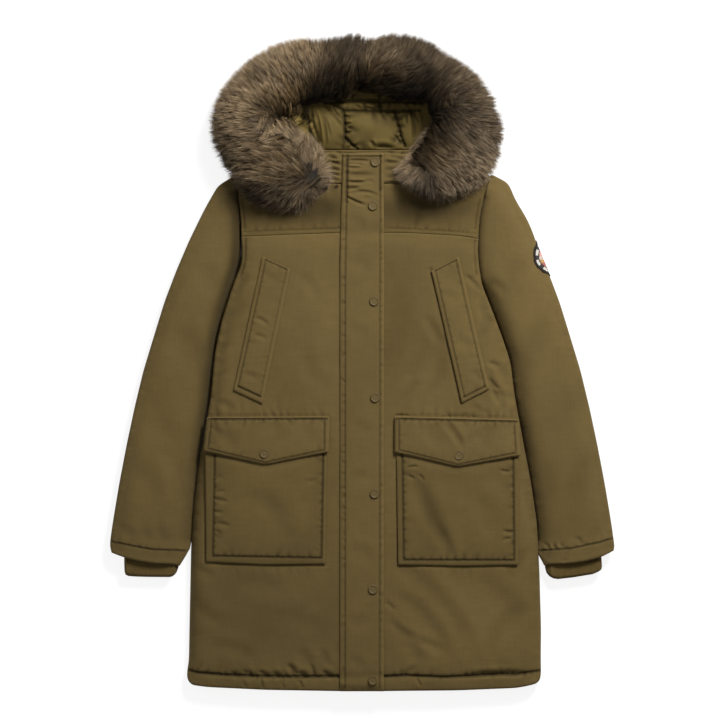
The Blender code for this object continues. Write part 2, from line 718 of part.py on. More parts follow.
def cuff_ring(side, ends, outer, shrink=1.0):
    """A flattened ring of rib knit, ribbed outside and plain inside."""
    count = 2 * CUFF_RIBS
    middle = SLEEVE_HEIGHT / 2
    half_width = math.dist(*ends) / 2
    half_height = CUFF_HEIGHT / 2 * shrink if outer else CUFF_SLIT / 2
    half_span = half_width if outer else half_width - (CUFF_HEIGHT - CUFF_SLIT) / 2
    ring = []
    for k in range(count):
        perimeter = 4 * half_span
        s = perimeter * k / count
        across = -half_span + s if s < 2 * half_span else 3 * half_span - s
        sign = 1 if s < 2 * half_span else -1
        near_end = min(1.0, (half_span - abs(across)) / half_height)
        z = sign * half_height * math.sqrt(max(0.0, 1 - (1 - near_end) ** 2))
        if outer and k % 2 and abs(z) > half_height * 0.9:
            z -= sign * CUFF_RIB_DEPTH
        x, y = mix(ends[0], ends[1], 0.5 + across / (2 * half_width))
        ring.append((side.sign * x, y, middle + z))
    return ring


def add_cuff(side, material):
    top, bottom = ((end.outer, (side.sleeve_hem[0] + end.inward, end.inner_y)) for end in CUFF_ENDS)
    near_end = tuple(mix(a, b, 0.94) for a, b in zip(top, bottom))
    outer = [cuff_ring(side, top, True), cuff_ring(side, near_end, True), cuff_ring(side, bottom, True, 0.8)]
    inner = [cuff_ring(side, top, False), cuff_ring(side, bottom, False)]
    tube_solid(f"cuff_{side.name}", outer, inner, material)


def add_badge(sleeve_rings, material):
    """A round patch folded over the sleeve's outer edge, on the sleeve's own lengthwise lines."""
    lengthwise = [4, 3, 2, 1, 0, -1, -2, -3, -4]  # ring points, over the top, round the edge and under
    lines = [[Vector(ring[k]) for ring in sleeve_rings] for k in lengthwise]
    distances = [0.0]
    for first, second in zip(lines, lines[1:]):
        gap = Vector(at_level(second)) - Vector(at_level(first))
        distances.append(distances[-1] + gap.length)
    centre = distances[4] + BADGE_PAST_EDGE
    lower, upper = [], []
    for line, distance, column in badge_columns(lines, distances, centre):
        half = math.sqrt(max(0.0, BADGE_RADIUS**2 - (distance - centre) ** 2))
        lower_row, upper_row = [], []
        for i in range(BADGE_ROWS + 1):
            y = BADGE_CENTRE_Y + half * (2 * i / BADGE_ROWS - 1) * 0.91
            point = at_level(line, y)
            outward = badge_outward(lines, column, y)
            lower_row.append(tuple(Vector(point) + outward * BADGE_GAP))
            upper_row.append(tuple(Vector(point) + outward * (BADGE_GAP + BADGE_WALL)))
        lower.append(lower_row)
        upper.append(upper_row)
    grid_solid("badge", upper, lower, material)


def at_level(line, y=BADGE_CENTRE_Y):
    for first, second in zip(line, line[1:]):
        if first.y >= y >= second.y:
            return first.lerp(second, (first.y - y) / (first.y - second.y))
    return line[-1]


def badge_columns(lines, distances, centre):
    """The lengthwise lines that cross the badge, with one more near each end of it."""
    ends = (centre - BADGE_RADIUS * BADGE_REACH[0], centre + BADGE_RADIUS * BADGE_REACH[1])
    columns = []
    for end in ends:
        k = max(i for i, d in enumerate(distances[:-1]) if d <= end)
        t = (end - distances[k]) / (distances[k + 1] - distances[k])
        line = [a.lerp(b, t) for a, b in zip(lines[k], lines[k + 1])]
        columns.append((line, end, k + t))
    inside = [(lines[k], d, k) for k, d in enumerate(distances) if ends[0] + 1 < d < ends[1] - 1]
    return sorted(columns + inside, key=lambda column: column[1])


def badge_outward(lines, column, y):
    """Away from the sleeve's cloth, across its outer edge."""
    before = at_level(lines[max(0, math.ceil(column) - 1)], y)
    after = at_level(lines[min(len(lines) - 1, math.floor(column) + 1)], y)
    round_edge = after - before
    return round_edge.cross(Vector((0.0, 1.0, 0.0))).normalized()


def smooth_between(values, t):
    """A Catmull-Rom curve through four values, between the second and the third."""
    a, b, c, d = values
    return 0.5 * (2 * b + (c - a) * t + (2 * a - 5 * b + 4 * c - d) * t**2 + (3 * b - a - 3 * c + d) * t**3)


def smooth_sections():
    """The fur's sections with smooth steps between them."""
    padded = [FUR_SECTIONS[0], *FUR_SECTIONS, FUR_SECTIONS[-1]]
    out = []
    for four in zip(padded, padded[1:], padded[2:], padded[3:]):
        for k in range(BETWEEN_SECTIONS):
            t = k / BETWEEN_SECTIONS
            outer = tuple(smooth_between([section.outer[i] for section in four], t) for i in range(2))
            inner = tuple(smooth_between([section.inner[i] for section in four], t) for i in range(2))
            out.append(Section(outer, inner, smooth_between([section.height for section in four], t)))
    return [*out, FUR_SECTIONS[-1]]


def shell_outline(reach):
    """Points round the hood at a given reach across the fur, from the left to the right neck side."""
    sections = smooth_sections()[HOOD_FROM * BETWEEN_SECTIONS : HOOD_TO * BETWEEN_SECTIONS + 1]
    return [mix(section.outer, section.inner, reach) for section in sections]


def add_hood_shell(material):
    """The outer hood, spread on the surface: a padded sheet whose straight side meets the back's neck."""
    neck = [(NECK_SIDE[0] + 30, COLLAR_TOP + SEAM), (-NECK_SIDE[0] - 30, COLLAR_TOP + SEAM)]
    outline = shell_outline(SHELL_REACH) + neck
    centre = Vector((0.0, 400.0))
    rings = ((3.0, 0.0), (0.0, 3.0), (0.0, 7.0), (4.0, HOOD_SHELL_WALL))
    points, faces = [], []
    for inward, z in rings:
        for x, y in outline:
            step = (centre - Vector((x, y))).normalized() * inward
            on_neck = y < COLLAR_TOP + 1
            points.append((x + step.x, y + (0.0 if on_neck else step.y), z))
    size = len(outline)
    for ring in range(len(rings) - 1):
        for k in range(size):
            after = (k + 1) % size
            a, b = ring * size + k, ring * size + after
            faces += [(a, b, b + size), (a, b + size, a + size)]
    faces.append(tuple(reversed(range(size))))
    faces.append(tuple(range(len(points) - size, len(points))))
    add_solid("hood_shell", points, faces, material)


def polyline_y(points, x):
    for (x0, y0), (x1, y1) in zip(points, points[1:]):
        if x0 <= x <= x1:
            return y0 + (y1 - y0) * (x - x0) / (x1 - x0)
    return points[-1][1]


def lining_height(x, y, edge_distance):
    """The quilted upper surface: puffed cells between stitched valleys."""
    valley = max(
        math.exp(-((segment_distance((x, y), quilt.start, quilt.end) / quilt.width) ** 2))
        for quilt in QUILT_SEAMS
    )
    base = HOOD_SHELL_WALL + SEAM
    rise = LINING_RISE * (1 - 0.6 * valley)
    return base + 5.0 + (rise - 5.0) * min(1.0, edge_distance / 14)


def add_hood_lining(material):
    """The quilted lining, on the shell inside the fur."""
    head = [point for point in shell_outline(LINING_REACH) if point[1] > 395]
    ends = (head[0], head[-1])
    neck = COLLAR_TOP + SEAM + 0.4
    foot = [(ends[0][0], ends[0][1] - 12), (-112, neck), (100, neck), (ends[1][0], ends[1][1] - 12)]
    upper, lower = [], []
    xs = [ends[0][0] + (ends[1][0] - ends[0][0]) * j / LINING_COLUMNS for j in range(LINING_COLUMNS + 1)]
    for i in range(LINING_ROWS + 1):
        upper_row, lower_row = [], []
        for j, x in enumerate(xs):
            low, high = polyline_y(foot, x), polyline_y(head, x)
            y = low + (high - low) * i / LINING_ROWS
            edge = min(y - low, high - y, x - xs[0], xs[-1] - x)
            upper_row.append((x, y, lining_height(x, y, edge)))
            lower_row.append((x, y, HOOD_SHELL_WALL + SEAM))
        upper.append(upper_row)
        lower.append(lower_row)
    grid_solid("hood_lining", upper, lower, material, flat_lower=True)


def fur_floor(x, y, on_hood):
    """The underside of the fur: on the yokes and collar below the neck, on the hood above it."""
    on_yoke = BACK_WALL + SEAM + FRONT_WALL + 3.1
    t = max(0.0, min(1.0, (y - COLLAR_TOP - 4) / 26))
    beyond_sleeve = SLEEVE_HEIGHT + 2.0 if abs(x) > 150 else on_yoke
    return beyond_sleeve + (on_hood - beyond_sleeve) * t


def add_fur_trim(material):
    """The fur band as one soft mass, as far as its hair reaches, open at the front of the neck."""
    rings = []
    for section in smooth_sections():
        ring = []
        crest = FUR_HEIGHT * section.height
        for across, height in FUR_PROFILE:
            x, y = mix(section.outer, section.inner, across)
            low = fur_floor(x, y, 2.0 + (FUR_UNDERSIDE[0][1] - 2.0) * across)
            ring.append((x, y, low + (crest - low) * height))
        for across, on_hood in FUR_UNDERSIDE:
            x, y = mix(section.outer, section.inner, across)
            ring.append((x, y, fur_floor(x, y, on_hood)))
        rings.append(ring)
    size = len(rings[0])
    points = [point for ring in rings for point in ring]
    faces = []
    for r in range(len(rings) - 1):
        for k in range(size):
            after = (k + 1) % size
            a, b = r * size + k, r * size + after
            faces += [(a, b, b + size), (a, b + size, a + size)]
    for r, flip in ((0, 1), (len(rings) - 1, -1)):
        first = r * size
        hub = len(points)
        ring = rings[r]
        points.append(tuple(sum(point[i] for point in ring) / size for i in range(3)))
        for k in range(size):
            faces.append((hub, first + k, first + (k + 1) % size)[::flip])
    add_solid("fur_trim", points, faces, material)


def surface_below(grid, centre):
    """The highest point of a grid's surface under a snap."""
    points = [Vector(point) for row in grid for point in row]
    tree = BVHTree.FromPolygons(points, grid_faces(len(grid), len(grid[0])))
    heights = []
    spots = [(centre[0], centre[1])]
    for k in range(SNAP_SIDES):
        angle = math.tau * k / SNAP_SIDES
        for radius in (SNAP_RADIUS, SNAP_RADIUS / 2):
            spots.append((centre[0] + radius * math.cos(angle), centre[1] + radius * math.sin(angle)))
    for x, y in spots:
        hit = tree.ray_cast(Vector((x, y, 500.0)), Vector((0.0, 0.0, -1.0)))[0]
        if hit:
            heights.append(hit.z)
    return max(heights)


def add_snap(name, centre, grid, material):
    """A low snap cap: a rim round a slightly domed plain face."""
    base = surface_below(grid, centre) + SEAM
    points, faces = [(*centre, base + SNAP_PROFILE[0][1])], []
    for radius, height in SNAP_PROFILE[1:]:
        for k in range(SNAP_SIDES):
            angle = math.tau * k / SNAP_SIDES
            x = centre[0] + radius * math.cos(angle)
            y = centre[1] + radius * math.sin(angle)
            points.append((x, y, base + height))
    for k in range(SNAP_SIDES):
        after = (k + 1) % SNAP_SIDES
        faces.append((0, 1 + k, 1 + after))
        for ring in range(len(SNAP_PROFILE) - 2):
            a, b = 1 + ring * SNAP_SIDES + k, 1 + ring * SNAP_SIDES + after
            faces.append((a, a + SNAP_SIDES, b + SNAP_SIDES, b))
    faces.append(tuple(len(points) - SNAP_SIDES + k for k in range(SNAP_SIDES)))
    add_solid(name, points, faces, material)


def centre_on_floor():
    """Moves the garment so that the middle of its box is over the origin and its underside at zero."""
    corners = [v.co for obj in bpy.data.objects for v in obj.data.vertices]
    low = Vector([min(co[i] for co in corners) for i in range(3)])
    high = Vector([max(co[i] for co in corners) for i in range(3)])
    shift = Vector((-(low.x + high.x) / 2, -(low.y + high.y) / 2, -low.z))
    for obj in bpy.data.objects:
        for vertex in obj.data.vertices:
            vertex.co += shift


def build():
    clear_scene()
    shell = cloth("olive shell cloth", SHELL_CLOTH)
    lining = cloth("olive lining cloth", LINING_CLOTH, roughness=0.6)
    fur = cloth("brown fur", FUR)
    rib = cloth("olive rib knit", RIB_KNIT)
    metal = cloth("bronze snap", SNAP_METAL, roughness=0.45, metallic=0.6)
    patch = cloth("woven badge", BADGE_CLOTH)

    add_back(shell)
    fronts, yokes = [], []
    for side in (LEFT, RIGHT):
        grid, number = add_front(side, shell)
        fronts.append(grid)
        yokes.append(add_yoke(side, shell))
        flap = add_pocket_and_flap(side, grid, number, shell)
        add_snap(f"snap_flap_{side.name}", FLAP_SNAPS[side.name], flap, metal)
        add_welt(side, grid, number, shell)
        rings = add_sleeve(side, shell)
        add_cuff(side, rib)
        if side is RIGHT:
            add_badge(rings, patch)
    collars = add_collar(shell)
    placket = add_placket(fronts, yokes, collars, shell)
    add_hood_shell(shell)
    add_hood_lining(lining)
    add_fur_trim(fur)
    for index, centre in enumerate(PLACKET_SNAPS):
        add_snap(f"snap_placket_{index + 1}", centre, placket, metal)
    centre_on_floor()


build()
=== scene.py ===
"""The looks of a padded parka with a fur trimmed hood, laid flat: cloth, sewing, knit, snaps and fur.

Lengths are millimetres in the part's own frame until a mesh is made.
"""

import math
from collections import namedtuple

import bmesh
import bpy
import numpy as np
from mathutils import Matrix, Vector, kdtree
from mathutils.bvhtree import BVHTree
from mathutils.geometry import delaunay_2d_cdt


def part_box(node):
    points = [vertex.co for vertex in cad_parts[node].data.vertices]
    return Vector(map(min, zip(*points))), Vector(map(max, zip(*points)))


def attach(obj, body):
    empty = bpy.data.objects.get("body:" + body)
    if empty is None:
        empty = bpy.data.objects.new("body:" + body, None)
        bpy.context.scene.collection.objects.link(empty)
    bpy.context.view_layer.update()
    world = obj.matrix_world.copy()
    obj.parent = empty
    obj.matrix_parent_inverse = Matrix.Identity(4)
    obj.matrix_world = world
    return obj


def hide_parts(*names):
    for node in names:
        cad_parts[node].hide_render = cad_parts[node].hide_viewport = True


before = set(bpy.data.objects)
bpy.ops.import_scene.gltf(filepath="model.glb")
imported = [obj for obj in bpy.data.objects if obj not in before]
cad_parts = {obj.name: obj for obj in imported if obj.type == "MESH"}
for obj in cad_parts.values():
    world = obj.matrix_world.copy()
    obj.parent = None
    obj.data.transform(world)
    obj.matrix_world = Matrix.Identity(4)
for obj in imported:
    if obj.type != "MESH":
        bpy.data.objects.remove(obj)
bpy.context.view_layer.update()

SHIFT_Y = -0.7  # from the garment's own lengths to the part's frame
DOWN, UP = Vector((0, 0, -1)), Vector((0, 0, 1))
ABOVE, BELOW = 400.0, -50.0  # where rays start
TURN = 2 * math.pi


def line(*points):
    return np.array([(x, y + SHIFT_Y) for x, y in points], float)


# ---------------------------------------------------------------- noise, distances and loops


def noise(x, y, cell, seed):
    """Smooth gradient noise, about -0.7 to 0.7, whose cells are that wide."""
    size = 64
    angle = np.random.default_rng(seed).uniform(0, TURN, (size, size))
    u, v = np.asarray(x) / cell + 31.7, np.asarray(y) / cell + 17.3
    i, j = np.floor(u).astype(int), np.floor(v).astype(int)
    f, g = u - i, v - j

    def corner(a, b):
        turn = angle[(i + a) % size, (j + b) % size]
        return np.cos(turn) * (f - a) + np.sin(turn) * (g - b)

    s, t = (w * w * w * (w * (w * 6 - 15) + 10) for w in (f, g))
    low = corner(0, 0) * (1 - s) + corner(1, 0) * s
    high = corner(0, 1) * (1 - s) + corner(1, 1) * s
    return low * (1 - t) + high * t


def falloff(distance, reach, power=2):
    return np.exp(-((distance / reach) ** power))


def project(points, path):
    """For each point, how far along the polyline it is, and its distance from it, positive on the left."""
    best, along, side, start = np.full(len(points), 1e9), np.zeros(len(points)), np.ones(len(points)), 0.0
    for a, step in zip(path[:-1], np.diff(path, axis=0)):
        length = math.hypot(*step)
        t = np.clip((points - a) @ step / length**2, 0, 1)
        x, y = (points - (a + t[:, None] * step)).T
        distance = np.hypot(x, y)
        closer = distance < best
        best = np.where(closer, distance, best)
        along = np.where(closer, start + t * length, along)
        side = np.where(closer, np.where(step[0] * y - step[1] * x >= 0, 1, -1), side)
        start += length
    return along, best * side


def kd_tree(points):
    tree = kdtree.KDTree(len(points))
    for i, place in enumerate(points.tolist()):
        tree.insert((*place, 0)[:3], i)
    tree.balance()
    return tree


def edge_distance(points, loop):
    tree = kd_tree(loop)
    near = np.array([tree.find((x, y, 0))[1] for x, y in points.tolist()], int)
    best = np.full(len(points), 1e9)
    for shift in (-1, 0):
        a, b = loop[(near + shift) % len(loop)], loop[(near + shift + 1) % len(loop)]
        step = b - a
        t = np.clip(((points - a) * step).sum(1) / np.maximum((step**2).sum(1), 1e-9), 0, 1)
        best = np.minimum(best, np.hypot(*(points - (a + t[:, None] * step)).T))
    return best


def inside(points, loop):
    found = np.zeros(len(points), bool)
    x, y = points[:, 0], points[:, 1]
    for a, b in zip(loop, np.roll(loop, -1, axis=0)):
        crosses = (a[1] > y) != (b[1] > y)
        if crosses.any():
            found[crosses] ^= x[crosses] < a[0] + (y[crosses] - a[1]) / (b[1] - a[1]) * (b[0] - a[0])
    return found


def looped(path):
    return np.vstack([path, path[:1]])


def resample(path, step, closed=False):
    """The polyline's points again, that far apart at most, its own corners kept."""
    ends = looped(path) if closed else path
    out = []
    for a, b in zip(ends[:-1], ends[1:]):
        n = max(1, round(math.hypot(*(b - a)) / step))
        out += [a + (b - a) * k / n for k in range(n)]
    return np.array(out if closed else out + [ends[-1]])


def normals_of(path, closed=False):
    """Unit vectors to the left of a polyline at each of its points."""
    step = np.roll(path, -1, axis=0) - np.roll(path, 1, axis=0) if closed else np.gradient(path, axis=0)
    step /= np.maximum(np.hypot(step[:, 0], step[:, 1]), 1e-9)[:, None]
    return np.column_stack([-step[:, 1], step[:, 0]])


def evened(values, rounds=1):
    """Values round a loop, each drawn towards its neighbours."""
    for _ in range(rounds):
        values = (np.roll(values, 1, axis=0) + 2 * values + np.roll(values, -1, axis=0)) / 4
    return values


def loop_area(loop):
    """The area inside a loop, positive when it runs counter-clockwise."""
    after = np.roll(loop, -1, axis=0)
    return (loop[:, 0] * after[:, 1] - after[:, 0] * loop[:, 1]).sum() / 2


def nudged(loop, table):
    """The loop with its points near each row's place moved: x, y, how far both ways, and the reach."""
    out = loop.copy()
    for x, y, dx, dy, reach in table:
        out += falloff(np.hypot(*(loop - (x, y + SHIFT_Y)).T), reach)[:, None] * (dx, dy)
    return out


def rounded_corners(loop, corners):
    """The loop evened out round some of its corners: x, y and the reach."""
    share = np.zeros(len(loop))
    for x, y, reach in corners:
        share = np.maximum(share, falloff(np.hypot(*(loop - (x, y + SHIFT_Y)).T), reach, 4))
    return loop + (evened(loop, 24) - loop) * share[:, None]


def edge_run(loop, way, low, high, inset=0.0):
    """A line that far inside the part of a loop that faces that way in x, between two heights in y."""
    inward = normals_of(loop, closed=True)
    chosen = (inward[:, 0] * way < -0.55) & (loop[:, 1] > low) & (loop[:, 1] < high)
    order = np.roll(np.arange(len(loop)), -int(np.flatnonzero(~chosen)[0]))
    return (loop + inward * inset)[order[chosen[order]]]


def edge_radii(base, *runs):
    """The radius an edge is rolled to: one for all of it, and others beside some lines."""

    def radius(points):
        out = np.full(len(points), base)
        for path, size in runs:
            out += (size - base) * falloff(project(points, path)[1], 15, 4)
        return out

    return radius


def closed_up(others, low, gap=-0.15, reach=9.0):
    """A move for a loop's points: those above that y that face other pieces close by go up to them."""
    tree = kd_tree(np.vstack([resample(other, 1.0, closed=True) for other in others]))

    def move(loop, inward):
        shift = np.zeros_like(loop)
        for i, (place, facing) in enumerate(zip(loop, -inward)):
            found, _, distance = tree.find((*place, 0))
            way = (np.array(found[:2]) - place) / max(distance, 1e-6)
            share = np.clip([(reach - distance) / 3, (way @ facing - 0.3) / 0.3, (place[1] - low) / 14], 0, 1)
            shift[i] = way * max(distance - gap, 0) * share.prod()
        return loop + evened(shift)

    return move


# ---------------------------------------------------------------- reading the fixed frame


def tree_of(obj):
    obj.data.calc_loop_triangles()
    points = [tuple(1000 * c for c in v.co) for v in obj.data.vertices]
    return BVHTree.FromPolygons(points, [tuple(t.vertices) for t in obj.data.loop_triangles])


def heights(tree, points, down=True):
    """The height of the surface met from above, or from below, at each point, or NaN."""
    start, way = (ABOVE, DOWN) if down else (BELOW, UP)
    hits = [tree.ray_cast(Vector((x, y, start)), way)[0] for x, y in points.tolist()]
    return np.array([math.nan if hit is None else hit.z for hit in hits], float)


def outline(node, step=2.4):
    """The node's outline from above, counter-clockwise, resampled and evened, with its corners kept."""
    work = bmesh.new()
    work.from_mesh(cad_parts[node].data)
    bmesh.ops.remove_doubles(work, verts=work.verts, dist=1e-5)
    work.normal_update()
    work.faces.index_update()
    tree = BVHTree.FromBMesh(work)
    seen = []
    for face in work.faces:
        if face.normal.z > 0.02:
            x, y, _ = face.calc_center_median()
            if tree.ray_cast(Vector((x, y, 1.0)), DOWN)[2] == face.index:
                seen.append(face)
    up, follow = set(seen), {}
    for face in seen:
        for loop in face.loops:
            if not any(f in up for f in loop.edge.link_faces if f is not face):
                follow.setdefault(loop.vert.index, []).append(loop.link_loop_next.vert.index)
    points = np.array([v.co.xy for v in work.verts]) * 1000
    work.free()
    loops = []
    while follow:
        at, loop = next(iter(follow)), []
        while at in follow:
            loop.append(at)
            after = follow[at].pop()
            if not follow[at]:
                del follow[at]
            at = after
        loops.append(points[loop])
    best = max(loops, key=lambda loop: abs(loop_area(loop)))
    best = best[::-1] if loop_area(best) < 0 else best
    while True:
        before, after = best - np.roll(best, 1, axis=0), np.roll(best, -1, axis=0) - best
        turn = np.abs(np.arctan2(before[:, 0] * after[:, 1] - before[:, 1] * after[:, 0],
                                 (before * after).sum(1)))
        spurs = turn > math.radians(150)
        if not spurs.any():
            break
        best = best[~spurs]
    corners = best[turn > math.radians(30)]
    dense = resample(best, step, closed=True)
    pinned = np.array([(np.hypot(*(corners - p).T) < 1e-6).any() for p in dense])
    for _ in range(14):
        middle = (np.roll(dense, 1, axis=0) + np.roll(dense, -1, axis=0)) / 2
        dense = np.where(pinned[:, None], dense, dense + 0.5 * (middle - dense))
    return dense


# ---------------------------------------------------------------- seams and creases

# A stitched line on a panel: its furrow, and the puckers that it draws in the cloth beside it. sides says
# how often they lie on its left and right.
Seam = namedtuple("Seam", "path depth width pucker reach pitch sides seed slant",
                  defaults=(1.5, 1.5, 0.0, 14.0, 13.0, (1, 1), 1, 0.25))


def seam_height(seam, points):
    """What a seam adds to the surface's height."""
    near = ((points > seam.path.min(0) - 45) & (points < seam.path.max(0) + 45)).all(1)
    out = np.zeros(len(points))
    if not near.any():
        return out
    along, off = project(points[near], seam.path)
    distance = np.abs(off)
    value = -seam.depth * falloff(distance, seam.width)
    rng = np.random.default_rng(seam.seed)
    total = np.hypot(*np.diff(seam.path, axis=0).T).sum()
    at = 0.0
    while seam.pucker and at < total:
        at += seam.pitch * rng.uniform(0.45, 1.55)
        side = 1 if rng.random() < seam.sides[0] / (sum(seam.sides) + 1e-9) else -1
        reach = seam.reach * rng.uniform(0.45, 1.4)
        depth = seam.pucker * rng.uniform(0.35, 1.3)
        lean = rng.normal(0, seam.slant)
        width = rng.uniform(1.5, 3.0)
        there = (off * side > -1.0) & (distance < 3 * reach)
        d = distance[there]
        across = (along[there] - at - lean * d) / (width * (1 + d / reach))
        value[there] -= depth * falloff(d, reach) * trough(across, 0.45, 1.9)
    out[near] = value
    return out


def trough(u, rim, rim_at):
    """A section through a furrow with soft rims on both sides."""
    return np.exp(-(u**2)) - rim * np.exp(-((np.abs(u) - rim_at) ** 2))


def crease(points, x0, y0, x1, y1, width, depth, bow):
    """A soft trough (or a ridge, with a negative depth) from one end to the other, deepest in its middle."""
    a, b = line((x0, y0), (x1, y1))
    length = math.hypot(*(b - a))
    way = (b - a) / length
    rel = points - a
    t = rel @ way / length
    d = rel[:, 0] * -way[1] + rel[:, 1] * way[0] - bow * 4 * t * (1 - t)
    return -depth * falloff(t - 0.5, 0.43, 4) * trough(d / width, 0.4, 1.7)


def folds(points, table):
    return sum((crease(points, *row) for row in table), np.zeros(len(points)))


def narrow_creases(table, widest=4.7):
    """The middle lines of a table's narrow creases."""
    out = []
    for x0, y0, x1, y1, width, _, bow in table:
        if width < widest:
            a, b = line((x0, y0), (x1, y1))
            step = b - a
            side = np.array((-step[1], step[0])) / math.hypot(*step)
            t = np.linspace(0, 1, 9)[:, None]
            out.append(a + step * t + side * bow * 4 * t * (1 - t))
    return out


def softness(points, seed, amount=1.0):
    """The uneven fill of padded cloth: broad swells, and small dents in them."""
    x, y = points[:, 0], points[:, 1]
    swell = 1.3 * noise(x, y * 0.6, 110, seed) + 0.65 * noise(x, y * 0.7, 46, seed + 1)
    dents = 0.30 * noise(x, y, 19, seed + 2) + 0.12 * noise(x, y, 9, seed + 3)
    return amount * (swell + dents)


def soft_shape(seed, creases, amount, rise=14.0, least=0.0, pressed=(), more=None):
    """A panel's form: uneven fill that rises that far from its edge, creases, pressed furrows and more."""

    def shape(points, distance):
        form = softness(points, seed, amount) * np.clip(distance / rise, least, 1) + folds(points, creases)
        form += sum((seam_height(seam, points) for seam in pressed), np.zeros(len(points)))
        return form if more is None else form + more(points)

    return shape


# ---------------------------------------------------------------- making meshes

ROW_STEP = 0.866  # between rows of an even field, as a part of its spacing
FINE_ROWS = (0, 0.9, 1.8, 2.9, 4.2)  # beside a narrow crease
PROBE = 0.8  # how far inside its edge a solid's height is read
FLOOR_CLEAR = 1.5
SIDE_RINGS = [(0.35, 0.0), (0.72, 0.15), (1.0, 0.9)]  # how far down a panel's side, and how far in


def placed(name, data):
    obj = bpy.data.objects.new(name, data)
    bpy.context.scene.collection.objects.link(obj)
    return obj


def make_object(name, points, faces, material, attributes):
    """A mesh object from points in millimetres, riding on the part."""
    mesh = bpy.data.meshes.new(name)
    mesh.from_pydata((np.asarray(points, float) / 1000).tolist(), [], faces)
    mesh.validate()
    for key, values in attributes.items():
        layer = mesh.attributes.new(key, "FLOAT", "POINT")
        layer.data.foreach_set("value", np.asarray(values, np.float32))
    mesh.polygons.foreach_set("use_smooth", [True] * len(mesh.polygons))
    mesh.materials.append(material)
    obj = placed(name, mesh)
    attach(obj, "root")
    return obj


def faced_out(obj, weld=0.0):
    """Turns a mesh's faces outwards, with points closer than weld joined first."""
    work = bmesh.new()
    work.from_mesh(obj.data)
    if weld:
        bmesh.ops.remove_doubles(work, verts=work.verts, dist=weld)
    bmesh.ops.recalc_face_normals(work, faces=work.faces)
    work.to_mesh(obj.data)
    work.free()


def ring_faces(rings, around, closed=False):
    """Quads between rings of that many points each, and from the last ring to the first if closed."""
    return [
        (a + k, b + k, b + (k + 1) % around, a + (k + 1) % around)
        for a, b in ((r * around, (r + 1) % rings * around) for r in range(rings if closed else rings - 1))
        for k in range(around)
    ]


def rows_beside(path, spacing, offsets):
    """Lines along a polyline, at those distances on both sides."""
    path = resample(path, spacing)
    across = normals_of(path)
    return [path + across * off * sign for off in offsets for sign in ((1,) if off == 0 else (1, -1))]


def scatter(loop, seams, spacing, edge_rows, seam_rows, fine=()):
    """Points for a panel: rows along its edge, seams and narrow creases, and an even field between them."""
    inward = normals_of(loop, closed=True)
    families = [(loop + inward * off, min(0.8 * off, 1.4), 0.7 * off) for off in edge_rows]
    families += [(row, 0.75, 0.8) for seam in seams for row in rows_beside(seam.path, 2.3, seam_rows)]
    families += [(row, 0.7, 1.0) for path in fine for row in rows_beside(path, 1.3, FINE_ROWS)]
    low, high = loop.min(0), loop.max(0)
    rows = int((high[1] - low[1]) / (spacing * ROW_STEP)) + 2
    columns = int((high[0] - low[0]) / spacing) + 2
    i, j = np.meshgrid(np.arange(columns), np.arange(rows))
    field = np.column_stack([(low[0] + (i + 0.5 * (j % 2)) * spacing).ravel(),
                             (low[1] + j * spacing * ROW_STEP).ravel()])
    families.append((field, 0.72 * spacing, 0.72 * spacing))
    taken = np.empty((0, 2))
    for points, clear, from_edge in families:
        points = points[inside(points, loop)]
        points = points[edge_distance(points, loop) > from_edge]
        if len(taken) and len(points):
            tree = kd_tree(taken)
            points = points[[tree.find((x, y, 0))[2] > clear for x, y in points.tolist()]]
        taken = np.vstack([taken, points])
    return taken


def triangulate(loop, others):
    points = np.vstack([loop, others])
    n = len(loop)
    result = delaunay_2d_cdt([Vector(p) for p in points.tolist()], [], [list(range(n))], 1, 1e-6, True)
    flat = np.array([tuple(v) for v in result[0]])
    faces = np.array([tuple(f) for f in result[2]])
    rim = np.flatnonzero((faces < n).all(axis=1))  # only these can lie outside
    outside = rim[~inside(flat[faces[rim]].mean(axis=1), flat[:n])]
    return flat, np.delete(faces, outside, axis=0)


def relax(values, ends, rounds):
    """Evens out each column of values over a mesh, given the two ends of its edges."""
    a, b = np.concatenate([ends, ends[:, ::-1]]).T
    count = np.maximum(np.bincount(a, minlength=len(values)), 1)[:, None]
    for _ in range(rounds):
        mean = np.column_stack([np.bincount(a, column[b], len(values)) for column in values.T]) / count
        values = values + 0.5 * (mean - values)
    return values


def rolled(distance, radius):
    """How far a surface has sunk at that distance from an edge rounded to that radius."""
    d = np.clip(radius - distance, 0, radius)
    return radius - np.sqrt(np.maximum(radius**2 - d**2, 0))


def plain_side(loop, inward, top, low):
    """The rings of points down a panel's side."""
    return [np.column_stack([loop + inward * inset, top + (low - top) * part]) for part, inset in SIDE_RINGS]


